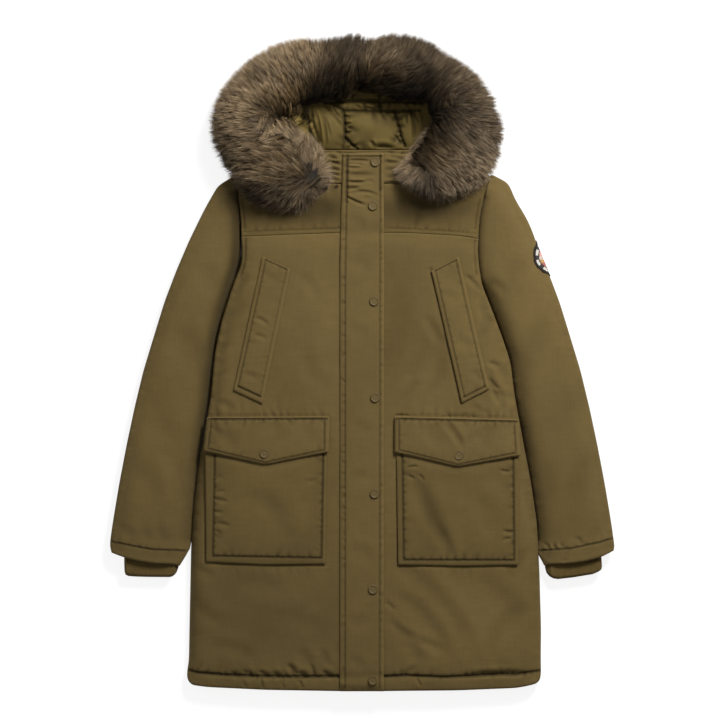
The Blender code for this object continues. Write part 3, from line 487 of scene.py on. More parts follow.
def panel(name, node, material, slot="shell_cloth", spacing=3.2, edge=4.0, seams=(), shape=None, smooth=30,
          below=False, edge_rows=(1.2, 2.8, 4.8), seam_rows=(0, 1.1, 2.3, 3.8), side_rings=plain_side,
          under_spacing=22.0, wear=1.0, loop=None, move_loop=None, shades=(), creases=()):
    """A closed piece of cloth on a node's form: its top from above, rounded edges and a plain underside."""
    tree = tree_of(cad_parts[node])
    loop = outline(node) if loop is None else loop
    if move_loop is not None:
        loop = move_loop(loop, normals_of(loop, closed=True))
    n, inward = len(loop), normals_of(loop, closed=True)
    flat, faces = triangulate(loop, scatter(loop, seams, spacing, edge_rows, seam_rows,
                                            narrow_creases(creases)))
    probe = flat.copy()
    probe[:n] += inward * PROBE
    z = heights(tree, probe)
    known = np.flatnonzero(~np.isnan(z))
    near = kd_tree(flat[known])
    for k in np.flatnonzero(np.isnan(z)):
        z[k] = z[known[near.find((*flat[k], 0))[1]]]
    z = relax(z[:, None], np.vstack([faces[:, [0, 1]], faces[:, [1, 2]], faces[:, [2, 0]]]), smooth)[:, 0]
    distance = edge_distance(flat, loop)
    sewn = sum((seam_height(seam, flat) for seam in seams), np.zeros(len(flat)))
    formed = np.zeros(len(flat)) if shape is None else shape(flat, distance)
    by_edge = np.clip(distance / 3.0, 0.15, 1)
    z += sewn * by_edge + np.where(formed > 0, formed * by_edge, formed)
    z = np.maximum(z - rolled(distance, edge(flat) if callable(edge) else edge), FLOOR_CLEAR)
    # Lighter at the edges and on raised ridges: partly wear, partly painted highlight.
    worn_and_lit = wear * falloff(distance, 2.2) + 0.3 * np.clip(sewn + formed, 0, 1.5)
    # Painted shade: darker in seam furrows, in creases and where the cloth falls deep beside other pieces.
    painted_shade = np.clip(-sewn / 1.5, 0, 1) + 0.3 * np.clip(-formed / 3.0, 0, 1) + np.clip(-formed / 14 - 0.5, 0, 1)
    # Spots of painted shade, and of painted light where the amount is below 0.
    for x, y, reach_x, reach_y, amount in shades:
        spot = np.exp(-(((flat[:, 0] - x) / reach_x) ** 2) - ((flat[:, 1] - y) / reach_y) ** 2)
        painted_shade += max(amount, 0) * spot
        worn_and_lit += max(-amount, 0) * spot
    # the side, from the top edge down to the underside
    low = heights(tree, loop + inward * PROBE, down=False)
    low = np.minimum(evened(np.where(np.isnan(low), np.nanmin(low), low), 6), z[:n] - 0.6)
    rings = side_rings(loop, inward, z[:n], low)
    faces, previous, base = faces.tolist(), list(range(n)), len(flat)
    for _ in rings:
        current = list(range(base, base + n))
        faces += zip(previous, current, current[1:] + current[:1], previous[1:] + previous[:1])
        previous, base = current, base + n
    # the underside
    foot = rings[-1][:, :2]
    under, under_faces = triangulate(foot, scatter(foot, (), under_spacing, (6.0,), ()))
    depth = heights(tree, under[n:], down=False) if below else np.full(len(under) - n, np.nan)
    depth = np.where(np.isnan(depth), low.min(), depth)
    number = np.array(previous + list(range(base, base + len(depth))))
    faces += number[under_faces[:, ::-1]].tolist()
    points = np.vstack([np.column_stack([flat, z]), *rings, np.column_stack([under[n:], depth])])
    rest = (0, len(points) - len(flat))
    obj = make_object(name, points, faces, material,
                      {"wear": np.pad(worn_and_lit, rest), "painted_shade": np.pad(np.clip(painted_shade, 0, 1), rest)})
    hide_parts(node)
    return obj


def declare_sheet(obj, loop, *rests_on):
    size = (loop.max(0) - loop.min(0)) / 1000
    min(abs(loop_area(loop)) / 1e6, float(size.prod()))


# ---------------------------------------------------------------- materials


class Look:
    """A material, with short ways to add nodes to it. Sockets and plain values both serve as inputs."""

    def __init__(self, name, **inputs):
        self.material = bpy.data.materials.new(name)
        self.material.use_nodes = True
        self.tree = self.material.node_tree
        self.shader = self.tree.nodes["Principled BSDF"]
        self.feed(self.shader, {key.replace("_", " "): value for key, value in inputs.items()})

    def feed(self, node, inputs):
        for key, value in inputs.items():
            if hasattr(value, "links"):
                self.tree.links.new(value, node.inputs[key])
            else:
                node.inputs[key].default_value = value

    def add(self, kind, inputs=None, **settings):
        node = self.tree.nodes.new("ShaderNode" + kind)
        for key, value in settings.items():
            setattr(node, key, value)
        self.feed(node, inputs or {})
        return node

    def place(self):
        return self.add("TexCoord").outputs["Object"]

    def texture(self, kind, place, scale, inputs=None, **settings):
        inputs = {"Vector": place, "Scale": scale, **(inputs or {})}
        return self.add("Tex" + kind, inputs, **settings).outputs["Fac"]

    def attribute(self, name, output="Fac"):
        return self.add("Attribute", attribute_name=name).outputs[output]

    def math(self, operation, *values):
        return self.add("Math", dict(enumerate(values)), operation=operation).outputs[0]

    def dye(self, colour, tone):
        scaled = self.add("VectorMath", {0: colour, "Scale": tone}, operation="SCALE")
        self.feed(self.shader, {"Base Color": scaled.outputs[0]})

    def raise_by(self, height, strength, distance):
        bump = self.add("Bump", {"Height": height, "Strength": strength, "Distance": distance})
        self.feed(self.shader, {"Normal": bump.outputs["Normal"]})


def woven(name, colour, thread=0.9, rough=0.85, sheen=0.10, gloss=0.08, bump=0.25, slub=0.17,
          wear_tint=0.30, mottle=0.34):
    """Plain weave: threads both ways, slubs along them, edges and ridges lighter as wear and painted
    highlight, and furrows darker as painted shade.
    """
    look = Look(name, Roughness=rough, Sheen_Weight=sheen, Sheen_Roughness=0.5,
                Sheen_Tint=(0.55, 0.44, 0.24, 1), Specular_IOR_Level=gloss)
    place = look.place()
    grains = []
    for scale, seed in (((260, 38, 60), 0.0), ((34, 240, 60), 4.0)):
        stretch = look.add("Mapping", {"Vector": place, "Scale": scale, "Location": (seed, seed, seed)})
        grains.append(look.texture("Noise", stretch.outputs["Vector"], 1.0, {"Detail": 3.0}))
    slubs = look.math("ADD", *grains)
    broad = look.texture("Noise", place, 12.0, {"Detail": 6.0, "Roughness": 0.62})
    tone = look.math("MULTIPLY", look.math("MULTIPLY_ADD", slubs, slub, 1.0 - slub),
                     look.math("MULTIPLY_ADD", broad, mottle, 1.0 - mottle / 2))
    # Painted shade darkens the cloth; wear and painted light lighten it.
    for name, amount in (("wear", wear_tint), ("painted_shade", -0.6)):
        tone = look.math("MULTIPLY", tone, look.math("MULTIPLY_ADD", look.attribute(name), amount, 1.0))
    look.dye(colour, tone)
    threads = [
        look.texture("Wave", place, 314.0 / thread, {"Distortion": 0.6, "Detail": 1.0}, wave_type="BANDS",
                     bands_direction=axis)
        for axis in ("X", "Y")
    ]
    look.raise_by(look.math("MULTIPLY_ADD", look.math("MAXIMUM", *threads), 0.5, slubs), bump, 0.0006)
    return look.material


SHELL = (0.0930, 0.0640, 0.0225)
shell_material = woven("shell_weave", SHELL)
sleeve_material = woven("sleeve_weave", SHELL)
# The yokes' cloth is the shell's darkened as painted shade under the fur.
yoke_shaded_material = woven("yoke_weave_painted_shade", (0.0905, 0.0620, 0.0214))
# The pockets' cloth is the shell's darkened as painted shade.
pocket_shaded_material = woven("pocket_weave_painted_shade", (0.0820, 0.0565, 0.0195))
lining_material = woven("lining_satin", (0.0655, 0.0458, 0.0124), thread=0.5, rough=0.70, sheen=0.05,
                        gloss=0.10, bump=0.12, slub=0.10, wear_tint=0.90)
knit_material = woven("rib_knit", (0.0700, 0.0465, 0.0150), thread=1.6, rough=0.92, sheen=0.15, bump=0.6,
                      slub=0.3)
thread_material = woven("thread", (0.0800, 0.0550, 0.0190), rough=0.7, sheen=0.05, bump=0.0, slub=0.3)


# ---------------------------------------------------------------- sewing

STITCH_PITCH, STITCH_LENGTH, STITCH_RADIUS = 3.5, 2.6, 0.42
thread_lines = []  # (tree of the cloth, path)


def sew(obj, *paths):
    tree = tree_of(obj)
    thread_lines.extend((tree, path) for path in paths)


def make_stitches():
    """Every stitch as a small grain of thread lying in its furrow."""
    points, faces = [], []
    for tree, path in thread_lines:
        spots = resample(path, STITCH_PITCH)
        for a, b in zip(spots[:-1], spots[1:]):
            way = (b - a) / max(math.hypot(*(b - a)), 1e-9)
            middle = (a + b) / 2
            ends = [middle - way * STITCH_LENGTH / 2, middle, middle + way * STITCH_LENGTH / 2]
            z = heights(tree, np.array(ends))
            if np.isnan(z).any():
                continue
            first, centre, last = (np.array((*p, h + 0.12)) for p, h in zip(ends, z))
            across = np.array((-way[1], way[0], 0.0)) * STITCH_RADIUS
            up = np.array((0.0, 0.0, STITCH_RADIUS))
            n = len(points)
            points += [first, last, centre + across, centre + up * 1.25, centre - across, centre - up]
            for k in range(4):
                p, q = n + 2 + k, n + 2 + (k + 1) % 4
                faces += [(n, p, q), (n + 1, q, p)]
    make_object("stitches", points, faces, thread_material, {})


def inset_polygon(corners, distances):
    """A closed polygon moved in by a distance for each side; the corners run counter-clockwise."""
    moved = []
    for a, b, distance in zip(corners, np.roll(corners, -1, axis=0), distances):
        way = (b - a) / math.hypot(*(b - a))
        moved.append((a + np.array((-way[1], way[0])) * distance, way))
    out = []
    for i, (q, e) in enumerate(moved):
        p, d = moved[i - 1]
        t = ((q[0] - p[0]) * e[1] - (q[1] - p[1]) * e[0]) / (d[0] * e[1] - d[1] * e[0])
        out.append(p + d * t)
    return np.array(out)


# ---------------------------------------------------------------- body panels

SIDES = (("left", -1), ("right", 1))
HEM_LEFT = line((-281, -495.5), (-265, -499.6), (-219, -503.4), (-164, -505.4), (-99, -506.2), (-34, -505.4))
HEM_RIGHT = line((34, -505.9), (73, -503.9), (130, -506.7), (177, -504.9), (225, -502), (245, -503),
                 (287, -497))
OVER_POCKET = {"left": line((-250, -89), (-54, -88)), "right": line((54, -88), (250, -92))}
UNDER_POCKET = {"left": line((-251, -331), (-58, -334)), "right": line((58, -334), (252, -335))}
YOKE_JOIN = {
    "left": line((-200, 205), (-37.5, 210.5)),
    "right": line((36.7, 211.5), (141.7, 206), (200, 201)),
}

# Creases: start x, start y, end x, end y, width, depth and how far the middle bows.
FRONT_CREASES = {
    "left": [
        (-205, 108, -178, 138, 7, 1.6, 4), (-219, 70, -190, 96, 8, 1.3, -5), (-236, 8, -212, 30, 6, 1.4, 3),
        (-238, -30, -214, -14, 5, 1.1, 2), (-236, -64, -205, -78, 6, 1.2, 3),
        (-104, 146, -70, 92, 9, 0.8, 6), (-92, 20, -56, -40, 12, 0.9, -8),
        (-272, -330, -236, -352, 8, 1.2, 4), (-276, -372, -222, -420, 11, 1.1, -8),
        (-210, -352, -120, -372, 13, 1, 8), (-150, -400, -60, -440, 14, 0.8, 10),
        (-246, -452, -170, -476, 10, 1, 5), (-212, -498, -196, -505, 4.5, 1.4, 0),
        (-190, -496, -172, -506, 4.2, 1.7, 0), (-166, -497, -150, -506, 4, 2.2, 0),
        (-144, -499, -130, -506, 4.6, 2.4, 0), (-121, -486, -103, -506, 4.6, 2.4, 2),
        (-102, -498, -88, -507, 4.4, 2.6, 0), (-84, -484, -77, -506, 3.8, 1.9, 1),
        (-64, -497, -46, -507, 4.4, 2.6, 0), (-100, -462, -82, -486, 9, 1.4, 0),
        (-62, -462, -57, -488, 7, 1.4, 0), (-193, -512, -186, -523, 3.2, 1.1, 0),
        (-162.5, -507, -160.5, -525, 3, 2, 0), (-130, -514, -124, -525, 3.4, 1, 0),
        (-100, -512, -96, -525, 2.8, 1.6, 0),
    ],
    "right": [
        (165.5, 140.5, 188, 114.5, 4, 2, 2), (203, -1.6, 221.5, -7.6, 3.4, 1.7, 1),
        (203, -24.6, 221.5, -45, 3.6, 1.9, -2), (205, -36, 218.6, -68.5, 3.4, 1.8, 2),
        (102.5, 78, 135, 25, 7, 1.5, -2), (54, -85.6, 74, -85.6, 3, 0.9, 0),
        (132, -85.4, 184, -86.2, 3.2, 0.9, 0), (160, -503, 268, -499, 4.4, 2.4, 1),
        (88, -508, 94, -522, 2.6, 1.8, 0), (38, -385, 53, -398.5, 4, 1.2, 0),
        (42, -412, 88, -446, 6.5, 1.5, -3), (86, -446, 130, -465, 7, 1.4, 2),
        (196, 104, 206, 60, 6, 1.8, -4), (208, 76, 190, 38, 8, 1.4, 5), (206, 4, 236, -30, 6, 1.8, 4),
        (203, -20, 240, -62, 6, 1.9, -5), (206, -44, 233, -84, 6, 1.6, 5), (176, -70, 200, -86, 5, 1, 2),
        (100, 40, 72, -30, 12, 1.1, 8), (96, -30, 64, -72, 9, 1.1, -5), (128, 6, 104, -60, 10, 0.8, 6),
        (50, -322, 180, -470, 13, 1.5, 18), (54, -372, 140, -478, 12, 1.3, 14),
        (48, -430, 96, -492, 10, 1.2, 8), (272, -300, 236, -360, 11, 1.4, -9),
        (270, -392, 200, -470, 13, 1.2, -12), (180, -340, 250, -420, 15, 1, 12),
        (262, -205, 276, -262, 7, 1.4, 5), (88, -488, 60, -504, 5, 1.4, 2),
    ],
}
YOKE_CREASES = {
    "left": [
        (-60, 290, -44, 262, 6, 1.2, 3), (-52, 306, -38, 296, 4, 1.4, 0), (-176, 236, -150, 262, 9, 1, 4),
        (-70, 262, -52, 226, 12, 1, 5),
    ],
    "right": [(150, 232, 180, 262, 9, 1, -4), (92, 240, 84, 214, 7, 1, 2), (50, 276, 64, 238, 9, 1.2, 4)],
}

# The furrows that the pieces on each front press into it.
BESIDE_PIECES = {
    "left": [
        Seam(line((-249, -86.5), (-55, -85.8)), depth=1.2, width=1.6),
        Seam(line((-248, -95), (-252, -320)), depth=1.6, width=1.5),
        Seam(line((-251, -323.0), (-59, -326.2)), depth=1.8, width=1.6),
    ],
    "right": [
        Seam(line((110.3, 148.3), (127.3, 78.1), (136.9, 30.6), (148.3, -17), (159.5, -66.5)),
             depth=3.2, width=2.2),
        Seam(line((56.5, -95), (58.5, -322)), depth=3.0, width=1.9),
        Seam(line((55, -85.8), (251, -90.2)), depth=1.2, width=1.6),
        Seam(line((58, -327.8), (251, -328.2)), depth=1.8, width=1.6),
    ],
}
# Painted shade where cloth is darker, and painted light where it is lighter with an amount below 0: x, y,
# reach in x and y, amount.
FRONT_PAINTED_SHADING = {
    "left": [(-70, 60, 60, 110, -0.3), (-160, -420, 160, 90, 0.26)],
    "right": [(60, 90, 55, 130, 0.3), (132, 12, 17, 50, 0.34), (150, -410, 120, 80, -0.12)],
}
HEM_SEAMS = {
    "left": Seam(HEM_LEFT, depth=3.0, width=2.2, pucker=0.8, reach=9, pitch=14, sides=(3, 1), seed=11),
    "right": Seam(HEM_RIGHT, depth=3.0, width=2.2, pucker=1.0, reach=8, pitch=15, sides=(3, 1), seed=23),
}
HEM_NUDGES = [(-280, -502, -2.4, 0, 16), (287, -430, 1.6, 0, 60), (287, -500, 1.2, 0, 25)]
HEM_CORNERS = [(-280, -517, 9), (288, -513, 16)]
body_loops = {
    name: outline(name) for name in ("front_left", "front_right", "yoke_left", "yoke_right", "back")
}


def hem_corners(loop, inward):
    return nudged(rounded_corners(loop, HEM_CORNERS), HEM_NUDGES)


def armhole_seam(node, way, low, high, seed):
    return Seam(edge_run(body_loops[node], way, low, high, 5.8), depth=0.7, width=1.2, seed=seed)


for (side, way), seed, side_radius in zip(SIDES, (40, 60), (13.0, 6.0)):
    name = "front_" + side
    armhole = armhole_seam(name, way, 140, 200, seed + 1)
    pressed = [
        Seam(OVER_POCKET[side], depth=0, pucker=1.2, reach=15, pitch=15, sides=(1, 0), seed=seed + 5),
        Seam(UNDER_POCKET[side], depth=0, pucker=0.7, reach=12, pitch=19, sides=(0, 1), seed=seed + 6),
        *BESIDE_PIECES[side],
    ]
    free_side = edge_run(body_loops[name], way, -480, -130)
    piece = panel("shell_" + name, name, shell_material, seams=[HEM_SEAMS[side], armhole], smooth=26,
                  edge=edge_radii(3.0, (YOKE_JOIN[side], 0.7), (free_side, side_radius)), wear=0.3,
                  shape=soft_shape(seed, FRONT_CREASES[side], 1.0, least=0.1, pressed=pressed),
                  shades=FRONT_PAINTED_SHADING[side], creases=FRONT_CREASES[side], move_loop=hem_corners)
    sew(piece, armhole.path)

for (side, way), seed in zip(SIDES, (80, 90)):
    name = "yoke_" + side
    armhole = armhole_seam(name, way, 212, 262, seed + 1)
    stitched = Seam(YOKE_JOIN[side] + (0, 4.6), depth=0.35, width=1.1, pucker=0.6, reach=9, pitch=13,
                    sides=(1, 0), seed=seed + 3)
    piece = panel("shell_" + name, name, yoke_shaded_material, spacing=3.4, seams=[armhole, stitched], smooth=26,
                  edge=edge_radii(3.0, (YOKE_JOIN[side], 0.7)), wear=0.3, creases=YOKE_CREASES[side],
                  shape=soft_shape(seed, YOKE_CREASES[side], 0.8, least=0.1),
                  # Painted shade under the fur, and painted light along the seam below it.
                  shades=[(way * 100, 246, 92, 27, 1.15), (way * 95, 211, 90, 11, -0.4)])
    sew(piece, armhole.path, stitched.path)

back = panel("shell_back", "back", shell_material, spacing=9.0, edge=5.0, smooth=4,
             edge_rows=(1.6, 3.6, 6.0), move_loop=hem_corners)


# ---------------------------------------------------------------- pockets, flaps, welts, placket

POCKET_CORNERS = {
    "left": line((-250.7, -321.4), (-59.2, -324.7), (-55.2, -92), (-246.5, -93)),
    "right": line((58.0, -326), (251.0, -326.5), (249.0, -96), (55.2, -92)),
}
FLAP_CORNERS = {
    "left": line((-255.4, -144.5), (-156.0, -168.2), (-53.4, -146.5), (-53.2, -88.4), (-249.0, -89.4)),
    "right": line((52.4, -146.5), (154.2, -171.6), (254.6, -151.5), (251.6, -93.1), (52.6, -88.4)),
}
WELT_CORNERS = {
    "left": line((-207.0, -46), (-160.2, -67.5), (-114.8, 148.8), (-160.2, 170.2)),
    "right": line((160.4, -66.3), (204.9, -43.5), (156.0, 169.4), (111.4, 146.5)),
}
POCKET_INSETS = {"left": (9.6, 6.4, 8, 10.6), "right": (7.8, 6.4, 8, 9)}
POCKET_CREASES = {
    "left": [
        (-238, -186, -224, -184, 3, 0.9, 0), (-238, -210, -221, -206, 3, 1.1, 0),
        (-238, -221, -216, -225, 3.4, 1.4, 1), (-238, -243, -224, -241, 3, 1, 0),
        (-238, -259, -213, -263, 3.4, 1.4, 1), (-238, -270, -226, -276, 3, 1, 0),
        (-70, -186, -92, -192, 4, 0.9, 2), (-200, -210, -120, -250, 15, 1, 8),
        (-150, -200, -100, -296, 16, 0.9, -10),
    ],
    "right": [
        (73, -170, 91, -168, 2.4, 1.6, 1), (73, -183, 84, -188.5, 2.4, 1.6, 1),
        (90.5, -181, 99, -190, 2.4, 1.3, 1), (240, -176, 221, -173.5, 2.6, 1.7, 1),
        (242, -272.5, 226, -271, 2.8, 1.6, 1), (240, -284, 226, -286.5, 2.6, 1.4, -1),
        (84, -178, 138, -296, 12, 2.8, -4), (120, -262, 148, -320, 8, 1.8, 1),
        (150, -190, 232, -300, 17, 1.1, 12),
    ],
}
# Painted shade in the pockets' folds and under the flaps: x, y, reach in x and y, amount.
POCKET_PAINTED_SHADING = {
    "left": [(-225, -290, 40, 50, 0.12), (-100, -300, 50, 40, 0.1)],
    "right": [(112, -248, 20, 48, 0.26), (150, -180, 90, 14, 0.16)],
}
FLAP_CREASES = {
    "left": [
        (-236, -110, -200, -140, 12, 1, 5), (-150, -96, -128, -132, 13, 1, 5),
        (-96, -100, -76, -140, 11, 0.8, 4), (-244, -104, -226, -118, 5, 1, 1),
    ],
    "right": [
        (134, -96, 162, -138, 5.5, 2.3, 2), (100, -100, 128, -140, 13, 1, 6),
        (214, -100, 196, -142, 12, 1, -5), (168, -132, 190, -112, 8, 0.9, 3),
    ],
}
WELT_CREASES = {
    "left": [
        (-175, 72.5, -150, 59, 3.6, 1.3, 2), (-175, 44, -154, 38, 3.6, 1.2, 1),
        (-192, -20, -168, -26, 5, 1.2, 2), (-160, 140, -134, 128, 7, 0.7, 2),
    ],
    "right": [
        (130, 110, 156, 96, 7, 0.7, 2), (150, 40, 176, 20, 8, 0.8, 3), (176, -14, 192, -30, 6, 0.9, 2),
    ],
}
# The depth and width of the stitched furrows at a welt's foot, right, top and left.
WELT_STITCHES = {
    "left": ((2.2, 1.6), (0.6, 1.2), (1.7, 1.4), (1.2, 1.3)),
    "right": ((1.6, 1.5), (1.1, 1.3), (1.7, 1.4), (1.1, 1.3)),
}
PLACKET_CREASES = [
    (-24, 323.6, 13, 323.6, 2.8, 3, 0.5), (-24, 318.6, 2, 317.6, 2, 1.8, 0.5),
    (-24, 312.3, -1, 312.3, 2.6, 2.4, -0.5), (-24, 300.4, 20, 299.4, 4.6, 2.2, 0.5),
    (-24, 289.7, 5, 289.7, 2.4, 3, -0.5), (2, 291.5, 18, 291, 3.4, 1.4, 0.5),
    (-27, 278.5, -4, 279.5, 3, 2.8, 0), (-24, 270.2, 24, 269, 2.8, 2.3, 4.3),
    (-27, 266.5, 5, 252.5, 2.4, 3, -1), (4, 262, 26, 268, 4, 0.8, 1), (-22, 232, 6, 214, 9, 0.9, 3),
    (-20, 160, 14, 150, 10, 0.8, 3), (-22, 60, 12, 44, 10, 0.8, -3), (-20, -100, 16, -112, 10, 0.8, 3),
    (-22, -190, 10, -182, 9, 0.8, 2), (-20, -300, 16, -316, 11, 0.9, 3), (-22, -420, 12, -410, 10, 0.8, -2),
    (-22, -478, 8, -492, 8, 0.9, 2),
]
placket_seams = [
    Seam(line((-24.0, 333), (-25.4, 240), (-27.2, 130), (-27.4, -524)), depth=1.3, width=1.3, pucker=0.7,
         reach=9, pitch=20, sides=(0, 1), seed=301),
    Seam(line((-24.0, 331), (-24.6, 258)), depth=2.0, width=2.0, seed=302),
    Seam(line((29.2, 331), (28.8, 276)), depth=1.6, width=1.6, seed=305),
    Seam(line((29.0, 333), (28.6, 0), (27.9, -524)), depth=1.1, width=1.2, pucker=0.5, reach=8, pitch=18,
         sides=(1, 0), seed=303),
    Seam(line((-31, 331.0), (31, 330.4)), depth=2.2, width=1.6, seed=304),
]
# How far past the solid the placket's left and right edges lie: y, left, right.
PLACKET_SIDES = [(-530, -2.2, 1.4), (130, -2, 2), (200, -1, 2), (334, 2, 1)]


def sewn_on(node, seams, rests_on, plain=(), material=shell_material, **how):
    """A flat piece sewn on another one: seams are stitched, and plain ones only draw the cloth in."""
    piece = panel("shell_" + node, node, material, seams=[*seams, *plain], edge_rows=(0.7, 1.5, 2.8), **how)
    declare_sheet(piece, outline(node, 4.0), *rests_on)
    sew(piece, *(seam.path for seam in seams))


def pocket_shape(side, inner, seed):
    def shape(points, distance):
        within = edge_distance(points, resample(inner, 2.5, closed=True)) * inside(points, inner)
        fill = 1.2 * (1 - np.exp(-within / 16))
        fill -= 1.5 * falloff(project(points, FLAP_CORNERS[side][:3])[1], 5)
        soft = softness(points, seed, 0.7) * np.clip(within / 16, 0, 1)
        return fill + soft + folds(points, POCKET_CREASES[side])

    return shape


def raised_top(loop, inward):
    """The loop with its top edge moved up to the seam that it covers."""
    return loop + np.clip((-inward[:, 1] - 0.6) / 0.3, 0, 1)[:, None] * (0.0, 2.6)


def placket_sides(loop, inward):
    y, left, right = np.array(PLACKET_SIDES, float).T
    shift = np.where(loop[:, 0] < 0, np.interp(loop[:, 1], y, left), np.interp(loop[:, 1], y, right))
    return loop + np.column_stack([shift, 0 * shift])


for (side, _), seed in zip(SIDES, (120, 140)):
    inner = inset_polygon(POCKET_CORNERS[side], POCKET_INSETS[side])
    seam = Seam(looped(inner), depth=1.8, width=1.7, pucker=0.8, reach=8, pitch=13, sides=(1, 0), seed=seed)
    sewn_on("pocket_" + side, [seam], ["shell_front_" + side], material=pocket_shaded_material, edge=1.8, smooth=12,
            shape=pocket_shape(side, inner, seed), wear=0.6, shades=POCKET_PAINTED_SHADING[side],
            creases=POCKET_CREASES[side])

for (side, way), seed in zip(SIDES, (160, 180)):
    rim = inset_polygon(FLAP_CORNERS[side], (6.6, 6.6, 7.0, 3.0, 7.0))
    ridge = rim[[3, 4]]
    seam = Seam(looped(rim), depth=1.2, width=1.3, pucker=0.35, reach=8, pitch=15, sides=(1, 0), seed=seed)
    ends = (ridge[0] - ridge[1]) * 5 / math.hypot(*(ridge[0] - ridge[1]))
    head = Seam(np.array((ridge[0] + ends, ridge[1] - ends)), depth=1.8, width=1.6, pucker=0.8, reach=8,
                pitch=10, sides=(1, 0), seed=seed + 1)

    def lift(points):
        return 1.8 * np.clip(np.abs(project(points, ridge)[1]) / 50, 0, 1)

    sewn_on("flap_" + side, [seam], ["shell_pocket_" + side], plain=[head], spacing=2.8, edge=1.7, smooth=8,
            shape=soft_shape(seed, FLAP_CREASES[side], 0.6, more=lift), move_loop=raised_top, wear=0.7,
            # Painted shade darkens the flaps.
            creases=FLAP_CREASES[side], shades=[(way * 150, -125, 150, 60, 0.20)])

for (side, _), seed, foot in zip(SIDES, (200, 220), (9.2, 7.0)):
    rim = inset_polygon(WELT_CORNERS[side], (foot, 6.4, 2.8, 6.4))
    seams = [
        Seam(rim[[k, (k + 1) % 4]], depth=depth, width=width, pucker=0.35, reach=7, pitch=15, sides=(1, 0),
             seed=seed + k)
        for k, (depth, width) in enumerate(WELT_STITCHES[side])
    ]
    sewn_on("welt_" + side, seams, ["shell_front_" + side], spacing=2.8, edge=1.6, smooth=8, wear=0.5,
            shape=soft_shape(seed, WELT_CREASES[side], 0.5, rise=12.0), creases=WELT_CREASES[side])

sewn_on("placket", placket_seams, ["shell_front_left", "shell_front_right"], spacing=2.8, smooth=14, wear=0.6,
        edge=edge_radii(1.8, (line((-33, 325), (-33, 268)), 3.8), (line((33, 318), (33, 290)), 3.2)),
        shape=soft_shape(320, PLACKET_CREASES, 0.55), creases=PLACKET_CREASES, move_loop=placket_sides)


# ---------------------------------------------------------------- sleeves

SLEEVE_HEM = {
    "left": line((-404.5, -288.8), (-368.7, -296), (-338, -301.6), (-285, -303.8)),
    "right": line((285.5, -303.8), (336, -300), (383, -290), (408, -282.2)),
}
SLEEVE_MOUTH = {
    "left": line((-403, -309), (-366, -318), (-330, -323), (-288, -327)),
    "right": line((288, -327), (330, -323), (366, -316), (404, -307)),
}
SLEEVE_CREASES = {
    "left": [
        (-262, 160, -240, 110, 16, 1.2, 8), (-300, 60, -262, -20, 20, 1.3, 10),
        (-340, -40, -300, -130, 22, 1.2, -10), (-368, -160, -330, -230, 18, 1.3, 8),
        (-290, -150, -284, -230, 14, 1.2, -4), (-262, 30, -258, -60, 12, 1.3, 4),
        (-390, -262, -370, -286, 8, 0.9, 2), (-330, -262, -312, -292, 9, 1, -2),
        (-352, -270, -340, -290, 8, 0.8, 1),
    ],
    "right": [
        (204, 132, 232, 108, 7, 1.4, 3), (262, 170, 236, 110, 16, 1, -8), (300, 70, 262, -30, 20, 1.3, -10),
        (350, -20, 312, -120, 22, 1.2, 10), (372, -150, 336, -236, 18, 1.3, -8),
        (296, -160, 300, -236, 14, 1.2, 4), (262, 10, 264, -70, 12, 1.2, -4),
        (297, -292, 302, -302, 3, 1.8, 0), (308, -293, 313, -302, 3, 1.8, 0),
        (319, -292, 324, -301, 3, 1.4, 0), (346, -281, 353, -296, 4.5, 1.6, 1),
        (330, -318, 322, -323, 4, 1, 0), (380, -262, 374, -286, 8, 0.8, 1),
    ],
}
# Painted shade in the groove beside the body, and painted light where the amount is below 0: x, y, reach in x
# and y, amount.
SLEEVE_PAINTED_SHADING = {
    "left": [
        (-206, 262, 30, 26, 0.9), (-200, 225, 11, 40, 0.8), (-201, 165, 11, 34, 0.8),
        (-212, 115, 11, 34, 0.8), (-224, 70, 11, 32, 0.8), (-236, 22, 11, 34, 0.8), (-245, -30, 11, 36, 0.7),
        (-253, -90, 11, 44, 0.5), (-262, -170, 11, 50, 0.4), (-262, 190, 40, 60, -0.3),
    ],
    "right": [(278, 120, 60, 120, -0.35)],
}
# Where a sleeve's outline goes past its solid's: x, y, how far in x and y, and the reach.
SLEEVE_NUDGES = {
    "left": [(-289.5, -324.3, -4, -4.5, 12), (-277.2, -304.3, 0, 3, 12)],
    "right": [
        (230, 293, 5, 3, 30), (265, 225, 3.5, 1.5, 35), (292.5, -324.3, 1, -4, 12), (286, -306, -4.5, 0, 12),
        (403, -307.7, 2, 3, 12),
    ],
}
# How deep each sleeve falls beside the body: y, depth.
BESIDE_BODY = {
    "left": [(-300, 8), (-150, 13), (-60, 19), (40, 25), (150, 27), (215, 22), (262, 10)],
    "right": [(-300, 9), (-60, 10), (60, 10), (112, 9), (130, 4), (200, 7), (262, 8)],
}
SLIT_TOP, SLIT_FOOT, SLIT_DEPTH = 22.4, 11.6, 22.0
# The rings down a sleeve's open mouth: how far down the side, height in the opening and how far in there.
MOUTH_RINGS = [
    (0.25, SLIT_TOP + 1.6, 0.2), (0.38, SLIT_TOP, 1.8), (0.45, SLIT_TOP, SLIT_DEPTH),
    (0.55, SLIT_FOOT, SLIT_DEPTH), (0.62, SLIT_FOOT, 1.8), (0.75, SLIT_FOOT - 1.6, 0.2), (1.0, 0.0, 0.9),
]


